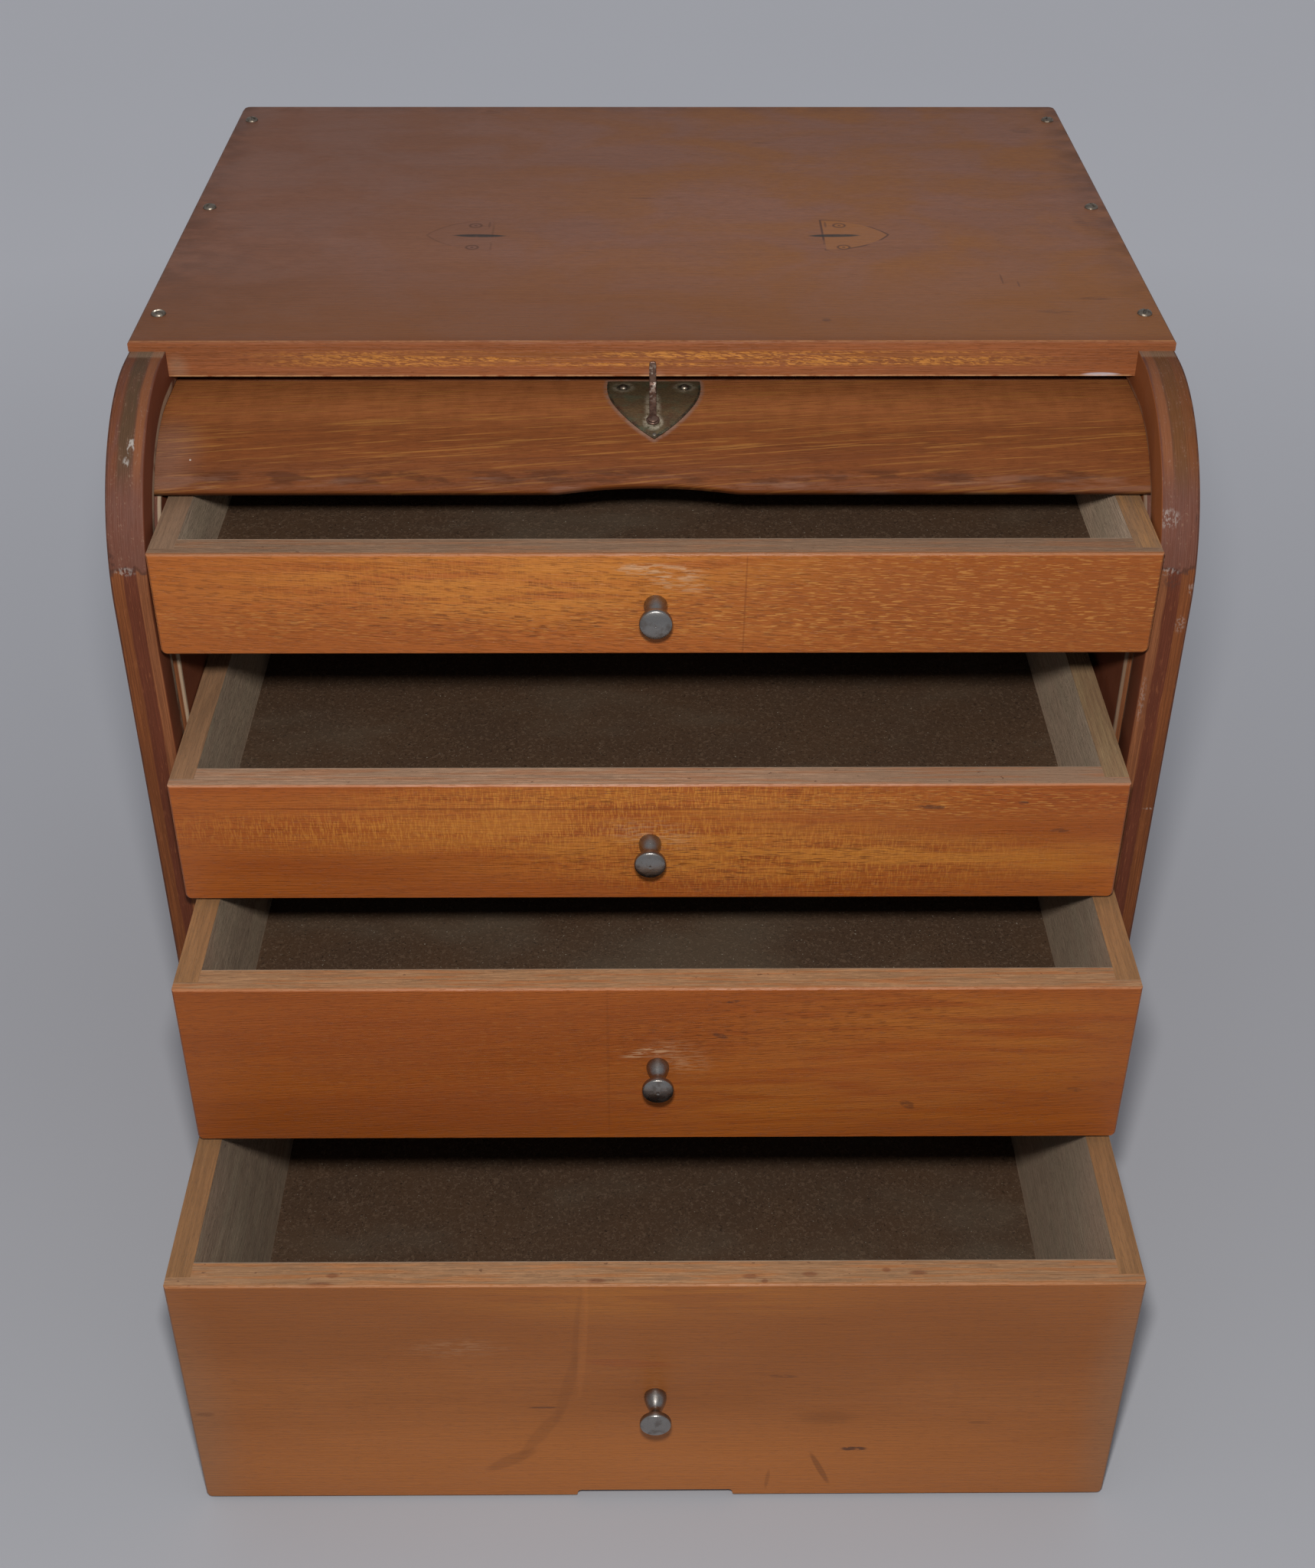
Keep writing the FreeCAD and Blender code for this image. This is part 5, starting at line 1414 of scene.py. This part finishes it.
class CABINET_OT_latch(bpy.types.Operator):
    """Makes the shield, its nails, the hook and the hook's rivet"""
    bl_idname = "cabinet.latch"
    bl_label = "Latch"

    def execute(self, context):
        look = scene_look().latch
        thick, shift, spread, pivot, tip = (v / MM for v in (
            look.thickness, look.shift, look.rivet_space / 2, look.pivot_run, look.tip_run))
        radius, height = look.head_radius / MM, look.head_height / MM
        heads = [on_roll((shift + d * spread, 0.0, thick), look.rivet_run / MM)
                 for d in (-1, 1)]
        halos = [(look.brass_worn, on_roll((0.0, 0.0, thick), 1.0), (2.4, 10.0, 6.0), 0.8, 0.75),
                 (look.brass_worn, on_roll((0.0, 0.0, thick), pivot), (3.2, 3.8, 3.8), 0.4, 0.9)]
        for head in heads:
            halos += [(look.brass_worn, head, (3.5, 3.5, 3.0), 0.7, 0.5),
                      (look.brass_dark, head, (2.3, 2.3, 3.0), 0.4, 0.95)]
        shield = make_piece("shield_plate", [shield_shell(look)], "roll_front",
                            shield_brass(look, halos))
        store_run(shield)
        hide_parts("latch_shield")

        steel, rusty = screw_steel(scene_look().case), hook_steel(look)
        nail_share, small_radius, small_height, small_sunk, small_back = 0.72, 0.75, 0.4, 0.15, 1.6
        nails = [round_head(head, (0, 0, 1), radius * nail_share, height) for head in heads]
        nails.append(round_head(on_roll((shift, 0.0, thick - small_sunk), tip - small_back),
                                outward(tip), small_radius, small_height, segments=24))
        piece = make_piece("shield_nail_heads", nails, "roll_front", steel)
        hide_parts("shield_rivets")

        axis = outward(pivot)
        stand = thick + 2 * look.hook_gap / MM + look.hook_thickness / MM
        shank_radius, shank_top, rivet_share, rivet_flat = 1.0, stand + 1.1, 0.9, 0.6
        shank = turned([(0.0, 0.0), (shank_radius, 0.0), (shank_radius, shank_top),
                        (0.0, shank_top)], on_roll((0.0, 0.0, -1.0), pivot), axis, 32)
        head = round_head(on_roll((0.0, 0.0, stand), pivot), axis, radius * rivet_share,
                          height * rivet_flat)
        rivet = make_piece("hook_rivet_head", [head, shank], "roll_front", rusty)
        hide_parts("hook_rivet")
        hook = make_piece("hook_strip", hook_shells(look), "latch_hook", rusty)
        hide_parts("latch_hook")
        return {"FINISHED"}


class CABINET_OT_drawers(bpy.types.Operator):
    """Finishes the wood of the four drawers"""
    bl_idname = "cabinet.drawers"
    bl_label = "Drawers"

    def execute(self, context):
        look = scene_look().drawers
        board = hardboard(look)
        for number in DRAWERS:
            drawer = f"drawer_{number}_"
            dress([drawer + "front"], drawer_front_wood(number, look))
            dress([drawer + "side_left", drawer + "side_right", drawer + "back"],
                  drawer_box_wood(number, look))
            dress([drawer + "bottom"], board)
        return {"FINISHED"}


class CABINET_OT_knobs(bpy.types.Operator):
    """Makes the four turned knobs"""
    bl_idname = "cabinet.knobs"
    bl_label = "Knobs"

    def execute(self, context):
        look = scene_look().knobs
        material = knob_nickel(look)
        profile = knob_profile(look)
        for number in DRAWERS:
            low, high = corners(f"drawer_{number}_knob")
            foot = ((low[0] + high[0]) / 2, high[1], (low[2] + high[2]) / 2)
            piece = make_piece(f"knob_{number}",
                               [turned(profile, foot, (0, -1, 0), look.segments)],
                               f"drawer_{number}", material, sharp=50.0)
            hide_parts(f"drawer_{number}_knob")
        return {"FINISHED"}


class CABINET_OT_stage(bpy.types.Operator):
    """Makes the floor, the lamp, the room's light and the camera"""
    bl_idname = "cabinet.stage"
    bl_label = "Stage"

    def execute(self, context):
        look = scene_look().stage
        scene = context.scene
        mesh = bpy.data.meshes.new("floor")
        half, count = 6.0, 13
        reach = np.linspace(-half, half, count)
        x, y = np.meshgrid(reach, reach, indexing="ij")
        points = np.stack([x, y, np.zeros_like(x)], axis=-1).reshape(-1, 3)
        mesh.from_pydata(points.tolist(), [], grid_faces(count, count)[:, ::-1].tolist())
        mesh.materials.append(floor_paper(look))
        floor = bpy.data.objects.new("floor", mesh)
        scene.collection.objects.link(floor)

        world = bpy.data.worlds.new("soft_room")
        world.use_nodes = True
        sky = world.node_tree.nodes["Background"]
        sky.inputs["Color"].default_value = linear("#f6f8ff")
        sky.inputs["Strength"].default_value = look.air
        scene.world = world

        lamp = bpy.data.lights.new("key", "AREA")
        lamp.shape = "DISK"
        lamp.size = look.key_size
        lamp.energy = look.key_power
        lamp.color = (1.0, 0.985, 0.96)
        key = bpy.data.objects.new("key", lamp)
        aim_at(key, look.key_place, target=(0.0, -0.16, 0.2))
        scene.collection.objects.link(key)

        optics = bpy.data.cameras.new("camera")
        optics.lens = look.focal
        optics.sensor_width = 36.0
        optics.clip_start = 0.01
        camera = bpy.data.objects.new("camera", optics)
        camera.matrix_world = camera_place((-3.33, -700.95, 618.75), yaw=-0.493, pitch=36.013,
                                           roll=0.166)
        scene.collection.objects.link(camera)
        scene.camera = camera
        scene.view_settings.view_transform = "Standard"
        return {"FINISHED"}


def aim_at(thing, place, target):
    """Puts a lamp at a place and turns its beam to a target."""
    way = np.array(target) - np.array(place)
    yaw = math.degrees(math.atan2(-way[0], way[1]))
    pitch = math.degrees(math.atan2(-way[2], math.hypot(*way[:2])))
    thing.matrix_world = Matrix.Translation(place) @ camera_place((0, 0, 0), yaw, pitch, 0.0)


def camera_place(millimetres, yaw, pitch, roll):
    """A camera's matrix: yaw to the left, pitch downward and roll, in degrees, for a camera
    that first looks along +Y."""
    a, b, c = (math.radians(angle) for angle in (yaw, pitch, roll))
    ahead = np.array([-math.sin(a), math.cos(a), 0.0])
    right = np.array([math.cos(a), math.sin(a), 0.0])
    up = np.array([0.0, 0.0, 1.0])
    forward = ahead * math.cos(b) - up * math.sin(b)
    raised = ahead * math.sin(b) + up * math.cos(b)
    across = right * math.cos(c) + raised * math.sin(c)
    raised = -right * math.sin(c) + raised * math.cos(c)
    columns = np.eye(4)
    columns[:3, 0] = across
    columns[:3, 1] = raised
    columns[:3, 2] = -forward
    columns[:3, 3] = np.asarray(millimetres) * MM
    return Matrix(columns.tolist())


class CABINET_PT_panel(bpy.types.Panel):
    """Settings and steps of the tool cabinet"""
    bl_idname = "CABINET_PT_panel"
    bl_label = "Tool cabinet"
    bl_space_type = "VIEW_3D"
    bl_region_type = "UI"
    bl_category = "Tool cabinet"

    def draw(self, context):
        settings = context.scene.tool_cabinet
        for step in STEPS:
            self.layout.operator(step.bl_idname)
        for part in ("case", "roll", "latch", "drawers", "knobs", "stage"):
            group = getattr(settings, part)
            box = self.layout.box()
            box.label(text=part.capitalize())
            for name in group.__annotations__:
                box.prop(group, name)


GROUPS = (CaseLook, RollLook, LatchLook, DrawerLook, KnobLook, StageLook, CabinetSettings)
STEPS = (CABINET_OT_sides, CABINET_OT_boards, CABINET_OT_top_screws, CABINET_OT_roll_front,
         CABINET_OT_latch, CABINET_OT_drawers, CABINET_OT_knobs, CABINET_OT_stage)


def register():
    for kind in (*GROUPS, *STEPS, CABINET_PT_panel):
        bpy.utils.register_class(kind)
    bpy.types.Scene.tool_cabinet = PointerProperty(type=CabinetSettings)


def unregister():
    del bpy.types.Scene.tool_cabinet
    for kind in reversed((*GROUPS, *STEPS, CABINET_PT_panel)):
        bpy.utils.unregister_class(kind)


def main():
    register()
    bpy.ops.cabinet.sides()
    bpy.ops.cabinet.boards()
    bpy.ops.cabinet.top_screws()
    bpy.ops.cabinet.roll_front()
    bpy.ops.cabinet.latch()
    bpy.ops.cabinet.drawers()
    bpy.ops.cabinet.knobs()
    bpy.ops.cabinet.stage()


if __name__ == "__main__":
    main()
